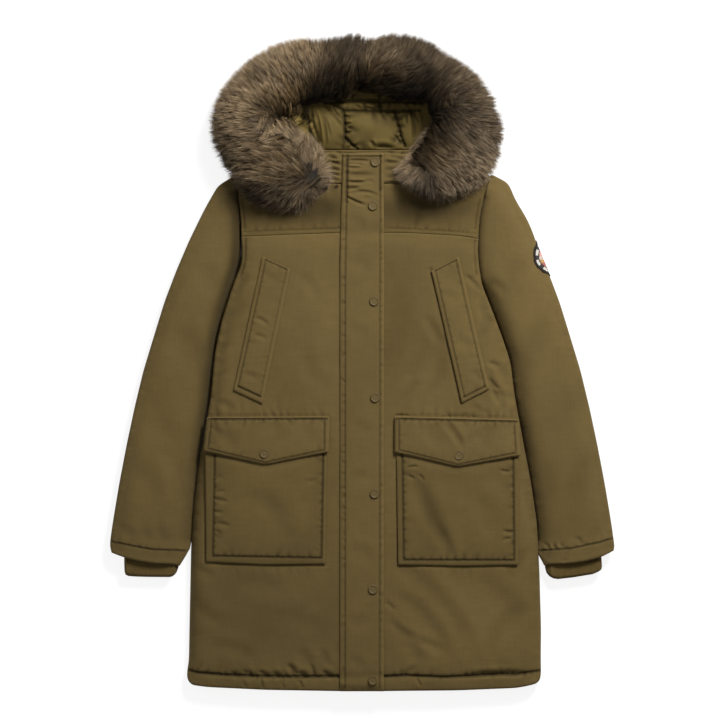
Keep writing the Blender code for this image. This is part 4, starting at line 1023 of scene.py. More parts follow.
def open_mouth(mouth):
    """The side of a sleeve: a plain wall that opens into a slit along the mouth."""

    def rings(loop, inward, top, low):
        along, off = project(loop, mouth)
        t = along / np.hypot(*np.diff(mouth, axis=0).T).sum()
        share = np.clip((12.0 - np.abs(off)) / 3.0, 0, 1)
        share = share * np.clip((t - 0.06) / 0.05, 0, 1) * np.clip((0.955 - t) / 0.04, 0, 1)
        share = share**2 * (3 - 2 * share)
        out = []
        for part, z, inset in MOUTH_RINGS:
            height = top + (low - top) * part
            if part < 1:
                height = height * (1 - share) + z * share
            depth = 0.6 * part * (1 - share) + inset * share
            out.append(np.column_stack([loop + inward * depth[:, None], height]))
        return out

    return rings


sleeves = {}
for (side, way), seed in zip(SIDES, (340, 360)):
    name = "sleeve_" + side
    seam = Seam(SLEEVE_HEM[side], depth=1.9, width=1.6, pucker=0.45, reach=8, pitch=11, sides=(3, 1),
                seed=seed)
    beside_body = edge_run(outline(name), -way, -290, 262)
    close_up = closed_up([body_loops[node] for node in ("front_" + side, "yoke_" + side, "back")], -303)

    def shifted(loop, inward):
        return close_up(nudged(loop, SLEEVE_NUDGES[side]), inward)

    def fall(points):
        depth = np.interp(points[:, 1], *np.array(BESIDE_BODY[side], float).T)
        return -depth * np.exp(-np.abs(project(points, beside_body)[1]) / 6.8)

    piece = panel("shell_" + name, name, sleeve_material, spacing=3.6, seams=[seam], smooth=26, below=True,
                  edge=edge_radii(4.5, (SLEEVE_MOUTH[side], 3.6), (beside_body, 6.0)), wear=0.25,
                  shape=soft_shape(seed, SLEEVE_CREASES[side], 0.8, rise=20.0, more=fall),
                  side_rings=open_mouth(SLEEVE_MOUTH[side]), under_spacing=14.0, move_loop=shifted,
                  shades=SLEEVE_PAINTED_SHADING[side], creases=SLEEVE_CREASES[side])
    sleeves[side] = piece
    sew(piece, seam.path)


# ---------------------------------------------------------------- collar and cuffs

COLLAR_CREASES = [
    (-64, 336.4, -40, 338.8, 2.3, 1.7, 1), (-44, 338.6, -8, 336.8, 1.9, 1.9, -1),
    (-14, 336.8, 30, 338.4, 1.9, 1.9, 1), (24, 338.6, 60, 336.2, 2.3, 1.9, 1),
    (56, 336, 98, 338.8, 2.5, 1.6, -1), (-44, 344, -34, 334, 3, 1.2, 0), (40, 343, 50, 334, 3.4, 1.4, 0),
    (70, 345, 62, 334, 3, 1.2, 0), (-54, 331, -39, 326, 2.4, 2.4, 0.5), (-51, 322, -35, 318, 2.5, 2.6, 0.5),
    (-53, 312, -35, 309, 2.6, 2.6, -0.5), (-51, 303, -35, 300, 2.4, 2, 0.5),
    (-49, 294, -35, 292, 2.4, 1.6, 0), (40, 330, 72, 325.5, 3, 1.6, 1), (36, 323, 60, 322, 3.6, 2.6, -1),
    (36, 310, 62, 309, 5, 2.2, 1), (36, 297, 66, 300, 5, 2.2, 1), (36, 287, 84, 290, 3.6, 3.4, 0),
]
COLLAR_VOXEL, COLLAR_ROUNDS = 0.0015, 7


def make_collar():
    """A finer, evened copy of the collar's solid, creased on top."""
    rough = placed("collar_rough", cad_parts["collar"].data.copy())
    remesh = rough.modifiers.new("even", "REMESH")
    remesh.mode = "VOXEL"
    remesh.voxel_size = COLLAR_VOXEL
    even = bpy.data.meshes.new_from_object(rough.evaluated_get(bpy.context.evaluated_depsgraph_get()))
    bpy.data.objects.remove(rough)
    points = relax(np.array([v.co for v in even.vertices]) * 1000, np.array([e.vertices for e in even.edges]),
                   COLLAR_ROUNDS)
    faces = [tuple(p.vertices) for p in even.polygons]
    quads = np.array([f for f in faces if len(f) == 4])
    across = points[quads[:, 2]] - points[quads[:, 0]], points[quads[:, 3]] - points[quads[:, 1]]
    normals = np.zeros_like(points)
    for k in range(4):
        np.add.at(normals, quads[:, k], np.cross(*across))
    normals /= np.maximum(np.linalg.norm(normals, axis=1), 1e-9)[:, None]
    flat = points[:, :2]
    shift = (folds(flat, COLLAR_CREASES) + softness(flat, 400, 0.4)) * np.clip(normals[:, 2], 0, 1)
    # Painted shade: darker in the creases.
    painted_shade = np.clip(-shift / 2.0, 0, 1)
    obj = make_object("shell_collar", points + normals * shift[:, None], faces, shell_material,
                      {"wear": 0 * painted_shade, "painted_shade": painted_shade})
    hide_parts("collar")


make_collar()

# Each cuff's outline, counter-clockwise: what is above y -318 lies in the sleeve.
CUFF_CORNERS = {
    "left": line((-383, -301), (-383, -325), (-382.4, -338), (-380.6, -342.8), (-376, -344.8), (-366, -345.6),
                 (-347.9, -346.2), (-310.9, -346.5), (-306, -345.6), (-301.6, -342.6), (-298.4, -338.4),
                 (-295.6, -330.6), (-294, -320), (-296, -303)),
    "right": line((385, -300), (296, -302), (294, -320), (295, -332), (297.2, -339.6), (301.6, -345),
                  (308, -348.6), (316, -349.7), (340, -347), (371.4, -341.8), (381, -337.6), (385.4, -334.4),
                  (386.7, -330), (385.8, -314.6)),
}


def cuff_shape(points, distance):
    ribs = 0.14 * np.sin(points[:, 0] * TURN / 2.4)
    past = np.clip((-316 - points[:, 1]) / 8, 0, 1)
    return (ribs + 1.8 * past + softness(points, 390, 0.3)) * np.clip(distance / 4, 0, 1)


for side, corners in CUFF_CORNERS.items():
    piece = panel("knit_cuff_" + side, "cuff_" + side, knit_material, "rib_knit", spacing=0.95, edge=3.0,
                  shape=cuff_shape, smooth=6, edge_rows=(0.5, 1.2, 2.2), under_spacing=8.0, wear=0.2,
                  loop=resample(corners, 1.4, closed=True))
    declare_sheet(piece, corners, "shell_sleeve_" + side)


# ---------------------------------------------------------------- hood

# Under the lining and the fur
hood = panel("shell_hood", "hood_shell", shell_material, spacing=6.0, edge=3.5, smooth=8)

# Quilting seams and folds of the lining: path, depth, width, pucker and seed.
LINING_SEAMS = [
    ([(-59, 418.5), (-20, 420), (50, 420.5), (101, 419)], 4.5, 2.6, 1, 501),
    ([(-44.6, 414.4), (-28.5, 404.4), (53, 403.3), (93, 405)], 2.6, 1.8, 1, 502),
    ([(-29.5, 402.5), (-28, 381.6), (-27.4, 362), (-19.3, 352.6), (-8, 343)], 4, 2, 2.2, 503),
    ([(-27.4, 362), (-32, 343)], 1.5, 1.6, 0.6, 504),
    ([(52.6, 404), (55.7, 390.4), (60.7, 372.4), (62.8, 362), (69, 347.8)], 3.8, 2, 2, 505),
    ([(-89.5, 404), (-84.5, 372.4), (-74.5, 350.3)], 3, 2.2, 1, 506),
    ([(-120.8, 402.5), (-90, 396)], 2, 2, 0.8, 507), ([(-17.7, 444), (-17, 426.6)], 3, 2.2, 0.8, 508),
    ([(29, 434.7), (30.6, 404)], 3, 2.2, 0.8, 509), ([(50.7, 434.7), (54.7, 421.8)], 3, 2.2, 0.8, 510),
]
LINING_CREASES = [
    (12, 356, 20, 346, 3, 2.5, 1), (20, 346.5, 54, 343.5, 4.5, 4, 1), (50, 367, 62.8, 351, 2.2, 2.2, 1),
    (-27.5, 396, -18, 394, 1.9, 2, 0), (-27.5, 391, -18, 392, 1.9, 2, 0),
    (-27.5, 383.5, -17, 384.5, 1.9, 2, 0), (-27.5, 375, -17, 377, 1.9, 2, 0),
    (-27, 368, -16, 371, 1.9, 1.8, 0), (-60.5, 414.4, -30.6, 376.7, 2.6, 2.6, 1),
    (-50, 412, -32, 389.6, 2.4, 2.2, -1), (-74.5, 418, -63, 352, 4, -2.4, 3),
    (-69, 409, -58, 350, 2.6, 2.8, 3), (-82, 412, -72, 362, 2.6, 2.8, -2), (-62, 400, -52, 360, 2.4, 1.6, 2),
    (-92, 398, -78, 376, 3, 1.8, 2), (-100, 384, -84, 366, 3, 1.8, 1), (77, 414, 83.7, 357.4, 2.8, 2.8, 2),
    (88.5, 422, 91.8, 365, 4, -1.8, 2), (84, 408, 96, 380, 2.4, 1.8, -2), (69, 401, 72, 381.6, 2.4, 2.2, 1),
    (-14, 414, -2, 409, 2.4, 1.8, 1), (6, 411, 22, 407, 2.4, 2, -1), (-16, 372, 20, 360, 12, 1.2, -4),
]
# Painted light where the fur shades the lining: x, y, reach in x and y, amount below 0.
LINING_PAINTED_LIGHT = [(-106, 394, 26, 22, -1.1), (20, 418, 100, 7, -0.4), (92, 400, 12, 30, -0.4)]
lining_seams = [
    Seam(line(*path), depth=depth, width=width, pucker=pucker, reach=12, pitch=8.5, seed=seed, slant=0.5)
    for path, depth, width, pucker, seed in LINING_SEAMS
]


def lining_shape(points, distance):
    nearest = np.min([np.abs(project(points, seam.path)[1]) for seam in lining_seams], axis=0)
    x, y = points.T
    dents = 0.35 * noise(x, y, 16, 520) + 0.15 * noise(x, y, 7, 521)
    raised = 18.0 * np.exp(-(((x + 106) / 25) ** 2) - ((y - 392) / 24) ** 2)
    return 2.0 * (1 - np.exp(-nearest / 6)) - 1.2 + dents + raised + folds(points, LINING_CREASES)


lining = panel("lining_hood", "hood_lining", lining_material, "lining_cloth", spacing=1.9, edge=2.4,
               seams=lining_seams, shape=lining_shape, smooth=16, seam_rows=(0, 1.2, 2.6),
               edge_rows=(0.9, 2.0, 3.4), loop=outline("hood_lining", 2.0), wear=0.05,
               creases=LINING_CREASES, shades=LINING_PAINTED_LIGHT)
sew(lining, *(seam.path for seam in lining_seams))


# ---------------------------------------------------------------- snaps and eyelet


def metal(name, colour, roughness):
    """Dull lacquer or tarnish over metal, slightly spotted."""
    look = Look(name, Roughness=roughness, Metallic=0.0, Specular_IOR_Level=0.15)
    spots = look.texture("Noise", look.place(), 900.0, {"Detail": 3.0})
    look.dye(colour, look.math("MULTIPLY_ADD", spots, 0.3, 0.85))
    look.raise_by(spots, 0.15, 0.0003)
    return look.material


SNAP_PROFILE = [  # (radius, height) of a cap with plain concentric rings
    (0.0, 1.5), (1.2, 1.5), (1.9, 1.1), (2.6, 1.5), (3.4, 1.15), (4.2, 1.6), (5.0, 1.15), (5.7, 1.9),
    (6.5, 2.3), (7.2, 2.0), (7.6, 1.0), (7.7, 0.2), (7.4, -0.6),
]
SNAP_AROUND = 40
EYELET = (-40.7, 282.5 + SHIFT_Y)
EYELET_RADIUS, EYELET_WIRE = 2.4, 0.9
EYELET_AROUND, WIRE_AROUND = 32, 10


def around(n):
    return [(math.cos(TURN * k / n), math.sin(TURN * k / n)) for k in range(n)]


snap_material = metal("snap_lacquer", (0.086, 0.060, 0.022), 0.5)
for node in sorted(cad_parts):
    if node.startswith("snap_"):
        low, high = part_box(node)
        x, y, z = (low.x + high.x) * 500, (low.y + high.y) * 500, low.z * 1000 + 0.2
        points = [(x + r * c, y + r * s, z + up) for r, up in SNAP_PROFILE for c, s in around(SNAP_AROUND)]
        faces = ring_faces(len(SNAP_PROFILE), SNAP_AROUND)
        faces.append(tuple(range(len(points) - 1, len(points) - SNAP_AROUND - 1, -1)))
        cap = make_object("cap_" + node, points, faces, snap_material, {})
        faced_out(cap, weld=1e-7)
        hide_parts(node)


def make_eyelet():
    carriers = [bpy.data.objects["shell_yoke_left"], bpy.data.objects["shell_collar"]]
    z = max(np.nan_to_num(heights(tree_of(obj), np.array([EYELET])), nan=0.0)[0] for obj in carriers)
    x, y = EYELET
    radii = [(EYELET_RADIUS + EYELET_WIRE * c, EYELET_WIRE * s) for c, s in around(WIRE_AROUND)]
    points = [(x + r * c, y + 0.85 * r * s, z + 0.4 + up)
              for c, s in around(EYELET_AROUND) for r, up in radii]
    faces = ring_faces(EYELET_AROUND, WIRE_AROUND, closed=True)
    # The dark disc across the ring's hole is painted shade.
    faces.append(tuple(range(len(points), len(points) + EYELET_AROUND)))
    points += [(x + 2.4 * c, y + 2.0 * s, z + 0.5) for c, s in around(EYELET_AROUND)]
    make_object("eyelet", points, faces, metal("eyelet_brass", (0.026, 0.016, 0.007), 0.7), {})


make_eyelet()


# ---------------------------------------------------------------- badge

BADGE_RADIUS = 32.0
BADGE_CENTRE = 166.0  # its height up the sleeve's outer edge
BADGE_PAST = 13.0  # how far round the edge its centre lies
BADGE_EDGE = line((278.0, 196.0), (299.0, 147.0))
BADGE_ROW = 2.0
BADGE_RINGS, BADGE_AROUND = 36, 140
RIM, MARK, BAND = (0.016, 0.013, 0.010), (0.035, 0.030, 0.030), (0.44, 0.41, 0.36)
FIELDS = ((0.34, 0.19, 0.07), (0.28, 0.085, 0.070), (0.46, 0.22, 0.19), (0.42, 0.34, 0.29))


def badge_colour(part, turn):
    """Generic design: a dark rim, a pale band with dark blocks, and a pinwheel of four colours."""
    if part > 0.88:
        return RIM
    if part > 0.74:
        return MARK if turn * 10 % 1.0 < 0.40 else BAND
    return MARK if part > 0.69 else FIELDS[int((turn * 20 + 1.6 * part) % 4)]


def badge_rise(part, radius, a, b, k):
    """How far the thread stands off the sleeve: a bound rim, a ribbed band and a stitched middle."""
    if part > 0.93:
        return 1.0 + 0.7 * math.sin(math.pi * (part - 0.93) / 0.07) + 0.12 * (k % 2)
    return 1.0 + 0.18 * math.sin(radius * 6.0) if part > 0.70 else 1.1 + 0.16 * math.sin(a * 5.0 + b * 2.0)


def badge_material():
    look = Look("badge_embroidery", Roughness=0.7, Specular_IOR_Level=0.1)
    wave = look.texture("Wave", look.place(), 420.0, {"Distortion": 1.5}, wave_type="BANDS",
                        bands_direction="DIAGONAL")
    look.dye(look.attribute("dye", "Color"), look.math("MULTIPLY_ADD", wave, 0.35, 0.78))
    look.raise_by(wave, 0.5, 0.0005)
    return look.material


def make_badge():
    """A round patch that follows the sleeve's surface round its outer edge."""
    tree = tree_of(sleeves["right"])
    way = (BADGE_EDGE[1] - BADGE_EDGE[0]) / math.hypot(*(BADGE_EDGE[1] - BADGE_EDGE[0]))
    out = np.array((-way[1], way[0]))
    t = (BADGE_EDGE[0][1] - (BADGE_CENTRE + SHIFT_Y)) / (BADGE_EDGE[0][1] - BADGE_EDGE[1][1])
    start = BADGE_EDGE[0] + (BADGE_EDGE[1] - BADGE_EDGE[0]) * t
    rows = np.arange(-36.0, 36.1, BADGE_ROW)
    surface, arcs = [], []
    for row in rows:
        axis = np.array((*(start + way * row - out * 26), 16.0))
        path = []
        for turn in np.radians(np.arange(-60.0, 200.0, 2.5)):
            ray = np.array((*(out * math.sin(turn)), math.cos(turn)))
            hit = tree.ray_cast(Vector(axis + ray * 90), Vector(-ray))[0]
            path.append(np.array(hit) if hit is not None else axis)
        path = np.array(path)
        arc = np.concatenate([[0], np.cumsum(np.linalg.norm(np.diff(path, axis=0), axis=1))])
        surface.append(path)
        arcs.append(arc - arc[np.argmax(path[:, :2] @ out)])

    def place(along, round_edge):
        i = int(np.clip((along - rows[0]) / BADGE_ROW, 0, len(rows) - 2))
        f = (along - rows[i]) / BADGE_ROW
        near, far = (
            np.array([np.interp(round_edge, arcs[k], column) for column in surface[k].T]) for k in (i, i + 1)
        )
        return near * (1 - f) + far * f

    points, colours = [], []
    middle = np.array((*(start - out * 16), 17.0))
    for ring in range(BADGE_RINGS + 1):
        part = ring / BADGE_RINGS
        radius = BADGE_RADIUS * ring / BADGE_RINGS
        for k, (c, s) in enumerate(around(BADGE_AROUND)):
            a, b = radius * c, BADGE_PAST + radius * s
            p = place(a, b)
            normal = np.cross(place(a + 1.0, b) - p, place(a, b + 1.0) - p)
            normal /= max(np.linalg.norm(normal), 1e-9)
            if normal @ (p - middle) < 0:
                normal = -normal
            points.append(p + normal * badge_rise(part, radius, a, radius * s, k))
            colours.append((*badge_colour(part, k / BADGE_AROUND), 1.0))
    for c, s in around(BADGE_AROUND):  # the rim's foot
        points.append(place(BADGE_RADIUS * c, BADGE_PAST + BADGE_RADIUS * s))
        colours.append((*RIM, 1.0))
    faces = ring_faces(BADGE_RINGS + 2, BADGE_AROUND)
    obj = make_object("patch_badge", points, faces, badge_material(), {})
    layer = obj.data.color_attributes.new("dye", "FLOAT_COLOR", "POINT")
    layer.data.foreach_set("color", np.array(colours, np.float32).ravel())
    faced_out(obj, weld=1e-7)
    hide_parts("badge")


make_badge()
make_stitches()


# ---------------------------------------------------------------- fur

FUR_HEIGHT = 88.0
# Sections round the hood's edge: the fur's outer and inner edge, and its height as a part of FUR_HEIGHT.
FUR_SECTIONS = [
    ((-40, 286), (-34, 304), 0.3), ((-64, 258), (-44, 326), 0.58), ((-112, 234), (-66, 348), 0.86),
    ((-184, 256), (-86, 368), 0.98), ((-224, 312), (-104, 386), 1.02), ((-246, 366), (-128, 398), 1),
    ((-238, 420), (-110, 408), 0.96), ((-210, 463), (-90, 418), 0.96), ((-165, 502), (-64, 424), 0.97),
    ((-113, 521), (-40, 421), 0.96), ((-58, 524), (-18, 440), 0.93), ((-12, 531), (0, 447), 0.9),
    ((14, 523), (12, 446), 0.82), ((50, 531), (34, 438), 0.9), ((100, 522), (60, 422), 0.96),
    ((142, 497), (98, 418), 0.98), ((184, 468), (107, 400), 0.99), ((214, 426), (108, 380), 1),
    ((229, 373), (94, 367), 1.02), ((221, 320), (80, 344), 1), ((199, 286), (66, 328), 0.96),
    ((163, 261), (54, 316), 0.9), ((118, 250), (44, 306), 0.78), ((80, 266), (48, 294), 0.5),
]
FUR_PROFILE = [
    (0.05, 0.08), (0, 0.3), (0.05, 0.6), (0.18, 0.86), (0.38, 0.99), (0.6, 0.97), (0.8, 0.78), (0.95, 0.5),
    (1, 0.26),
]
# How its hair lies: the place's x and y, the way it points in degrees anticlockwise from +x, and how light it
# is there, partly the hair's own tone and partly painted light and shade.
FUR_LIE = [
    (-89, 303, 0, 0.45), (-148, 405, 0, 0.45), (-240, 357, 188, 0.99), (-235, 325, 200, 0.8),
    (-221, 317, 195, 0.9), (-238, 398, 175, 1.21), (-225, 430, 160, 1.28), (-203, 462, 145, 1.28),
    (-180, 486, 130, 1.34), (-148, 507, 120, 1.41), (-113, 518, 114, 1.41), (-92, 499, 115, 1.3),
    (-71, 510, 96, 1), (-52, 510, 80, 0.64), (-32, 506, 66, 0.53), (-11, 512, 62, 0.53), (5, 518, 78, 0.6),
    (-43, 470, 58, 0.39), (-68, 454, 72, 0.34), (-27, 454, 55, 0.39), (-80, 433, 92, 0.36),
    (-48, 438, 70, 0.5), (-19, 433, 60, 0.6), (-116, 470, 124, 1.08), (-132, 446, 124, 1.34),
    (-140, 486, 127, 1.34), (-161, 446, 128, 1.41), (-172, 465, 132, 1.08), (-100, 470, 112, 0.8),
    (-185, 438, 142, 1.34), (-200, 409, 160, 1.41), (-213, 382, 178, 1.14), (-188, 382, 182, 1.02),
    (-171, 406, 168, 0.89), (-153, 423, 110, 1.02), (-153, 390, 275, 0.76), (-134, 412, 15, 1.41),
    (-116, 406, 0, 1.66), (-103, 422, 55, 1.3), (-100, 438, 95, 1.15), (-114, 451, 116, 1.53),
    (-97, 407, 350, 1.1), (-132, 391, 318, 1.41), (-116, 378, 312, 1.53), (-101, 357, 300, 1.15),
    (-145, 374, 305, 1.21), (-161, 369, 250, 1.28), (-132, 341, 137, 1.2), (-148, 328, 150, 1.2),
    (-171, 341, 158, 1.2), (-180, 317, 166, 1.15), (-196, 299, 174, 1.1), (-161, 303, 166, 1.1),
    (-116, 319, 140, 1), (-100, 324, 115, 0.85), (-90, 341, 105, 1.1), (-209, 341, 182, 1),
    (-84, 357, 110, 1.1), (-188, 277, 200, 0.55), (-164, 269, 207, 0.55), (-140, 261, 222, 0.75),
    (-116, 250, 242, 0.85), (-100, 245, 262, 0.85), (-84, 246, 280, 0.75), (-68, 256, 305, 0.85),
    (-52, 274, 330, 0.95), (-40, 293, 350, 1.1), (-43, 309, 15, 1.25), (-55, 325, 38, 1.25),
    (-71, 317, 60, 1), (-68, 296, 10, 0.7), (-74, 277, 318, 0.6), (-90, 267, 265, 0.8),
    (-108, 275, 215, 0.7), (-126, 287, 190, 0.85), (-87, 291, 270, 0.5), (10, 457, 84, 0.96),
    (16, 486, 82, 1.03), (26, 510, 70, 0.89), (0, 486, 88, 0.57), (35, 502, 55, 0.71), (35, 470, 48, 0.68),
    (50, 493, 38, 0.85), (74, 473, 22, 0.75), (55, 460, 330, 0.6), (55, 518, 82, 0.64), (84, 512, 62, 0.6),
    (105, 502, 50, 0.57), (135, 485, 42, 0.68), (164, 467, 30, 0.76), (188, 444, 16, 0.73),
    (204, 422, 3, 0.73), (214, 393, 356, 0.7), (221, 362, 345, 0.77), (85, 435, 15, 0.45),
    (64, 444, 15, 0.5), (105, 454, 30, 0.36), (119, 464, 42, 0.32), (126, 438, 60, 0.35),
    (145, 460, 42, 0.57), (164, 441, 20, 0.6), (135, 423, 125, 0.73), (145, 415, 115, 0.53),
    (122, 409, 170, 0.49), (101, 417, 178, 0.6), (138, 480, 45, 0.6), (61, 430, 5, 0.6), (156, 396, 0, 0.46),
    (177, 402, 358, 0.63), (196, 396, 356, 0.7), (138, 386, 200, 0.55), (126, 370, 212, 0.7),
    (106, 367, 200, 0.92), (147, 365, 300, 0.58), (161, 377, 320, 0.66), (175, 361, 325, 0.77),
    (135, 343, 315, 0.66), (114, 345, 90, 0.69), (113, 361, 95, 0.87), (204, 343, 325, 0.84),
    (195, 312, 326, 1.03), (185, 333, 328, 0.86), (164, 312, 326, 1.03), (135, 303, 322, 1.02),
    (164, 291, 320, 0.99), (150, 325, 325, 0.94), (145, 270, 312, 0.98), (124, 256, 290, 0.65),
    (105, 258, 265, 0.49), (84, 269, 240, 0.65), (72, 290, 222, 0.93), (68, 314, 192, 1.31),
    (82, 328, 165, 1.25), (89, 348, 205, 1), (76, 341, 215, 0.9), (103, 316, 270, 0.51),
    (119, 312, 320, 0.72), (100, 330, 120, 0.72), (85, 309, 188, 1.04), (93, 293, 232, 0.57),
    (109, 283, 275, 0.55), (127, 283, 305, 0.76),
]
CORE_RINGS, CORE_AROUND = 150, 22
TUFTS, LOCKS, HAIRS, FUR_PARTS = 2600, 14400, 13, 3
FUR_THIN = (-107, 392), 21, 0.97  # where the hair is thin over the lining: centre, reach, share left out
HAIR_STEPS = (0.0, 0.55, 1.0)


def smooth_table(rows, steps):
    """Catmull-Rom through the rows of a table."""
    rows = np.array(rows, float)
    padded = np.vstack([2 * rows[0] - rows[1], rows, 2 * rows[-1] - rows[-2]])
    out = []
    for i in range(1, len(padded) - 2):
        p0, p1, p2, p3 = padded[i - 1 : i + 3]
        for t in np.arange(steps) / steps:
            out.append(0.5 * (2 * p1 + (p2 - p0) * t + (2 * p0 - 5 * p1 + 4 * p2 - p3) * t * t
                              + (3 * p1 - p0 - 3 * p2 + p3) * t**3))
    return np.array(out + [rows[-1]])


fur_rows = smooth_table([(*outer, *inner, height) for outer, inner, height in FUR_SECTIONS], 10)
fur_rows[:, (1, 3)] += SHIFT_Y
fur_profile = np.clip(smooth_table(FUR_PROFILE, 6), 0, 1.02)
fur_footprint = np.vstack([fur_rows[:, 0:2], fur_rows[::-1, 2:4]])


def between(rows, at, last):
    """The table's rows at places that count them, mixed from the two beside each."""
    at = np.clip(at, 0, last)
    k = at.astype(int)
    f = (at - k)[:, None]
    return rows[k] * (1 - f) + rows[k + 1] * f


def fur_surface(u, v):
    """Points on the fur's outer form, and on the line that its hair grows from: u counts sections along it,
    and v runs up its outer side and over."""
    row = between(fur_rows, u, len(fur_rows) - 1.001)
    last = len(fur_profile) - 1.001
    across = between(fur_profile, np.clip(v, 0, 1) * last, last)
    outer, inner, height = row[:, 0:2], row[:, 2:4], row[:, 4] * FUR_HEIGHT
    flat = outer + (inner - outer) * across[:, :1]
    middle = outer * 0.5 + inner * 0.5
    return np.column_stack([flat, height * across[:, 1]]), np.column_stack([middle, height * 0.42])


def fur_lie(points):
    """The way the hair points over each place, how surely it does, and how light it is, as tone with painted
    light and shade.
    """
    table = np.array(FUR_LIE, float)
    off = points[:, None, :2] - (table[None, :, :2] + (0, SHIFT_Y))
    weight = ((off**2).sum(axis=2) + 30.0) ** -1.9
    weight /= weight.sum(axis=1)[:, None]
    angle = np.radians(table[:, 2])
    flow = np.column_stack([weight @ np.cos(angle), weight @ np.sin(angle)])
    sure = np.hypot(flow[:, 0], flow[:, 1])
    return flow / np.maximum(sure, 1e-6)[:, None], sure, weight @ table[:, 3]


def fur_places(count, rng):
    """Places spread evenly over the fur's outer form."""
    tries = 12 * count
    u = rng.uniform(0, len(fur_rows) - 1.01, tries)
    v = rng.uniform(0.07, 0.995, tries)
    row = between(fur_rows, u, len(fur_rows) - 1.001)
    i = np.clip(u.astype(int), 0, len(fur_rows) - 2)
    centres = (fur_rows[:, 0:2] + fur_rows[:, 2:4]) / 2
    stride = np.hypot(*(centres[i + 1] - centres[i]).T)
    weight = np.hypot(*(row[:, 0:2] - row[:, 2:4]).T) * (stride + 0.15 * stride.max())
    keep = np.flatnonzero(rng.random(tries) < weight / weight.max())[:count]
    return u[keep], v[keep]


def make_fur_material():
    """Dark roots, brown hair and pale tips, by how far along the hair a point is; the darkening towards the
    roots is partly the hair's colour and partly painted shade deep in the pile.
    """
    look = Look("fur_hair", Roughness=0.6, Specular_IOR_Level=0.12)
    ramp = look.add("ValToRGB", {"Fac": look.attribute("along")})
    stops = [(0.0, (0.009, 0.0055, 0.0018)), (0.50, (0.041, 0.0258, 0.0100)),
             (0.72, (0.110, 0.0735, 0.0365)), (0.88, (0.225, 0.164, 0.099)), (1.0, (0.345, 0.263, 0.172))]
    elements = ramp.color_ramp.elements
    while len(elements) < len(stops):
        elements.new(0.5)
    for element, (at, colour) in zip(elements, stops):
        element.position, element.color = at, (*colour, 1)
    look.dye(ramp.outputs["Color"], look.attribute("shade"))
    return look.material


def unit(vectors, least=1e-6):
    return vectors / np.maximum(np.linalg.norm(vectors, axis=1), least)[:, None]


def make_core():
    """The dark underfur that the hair grows from; its near-black colour is partly painted shade deep in the
    pile.
    """
    rings = []
    for u in np.linspace(9, len(fur_rows) - 10, CORE_RINGS):
        outer, middle = fur_surface(np.full(CORE_AROUND, u), np.linspace(0, 1, CORE_AROUND))
        inner = middle + (outer - middle) * 0.62
        inner[:, 2] = np.maximum(inner[:, 2], 24.0)
        rings.append(np.vstack([inner, inner[[-1, 0]] - (0, 0, 6)]))
    n = len(rings[0])
    points = np.vstack(rings)
    faces = ring_faces(CORE_RINGS, n)
    faces += [tuple(range(n)), tuple(range(len(points) - 1, len(points) - n - 1, -1))]
    points[:, 2] = np.maximum(points[:, 2] + noise(points[:, 0], points[:, 1], 14, 700) * 4, 12)
    along = np.zeros(len(points))
    obj = make_object("fur_core", points, faces, fur_material, {"along": along, "shade": along + 0.7})
    faced_out(obj)


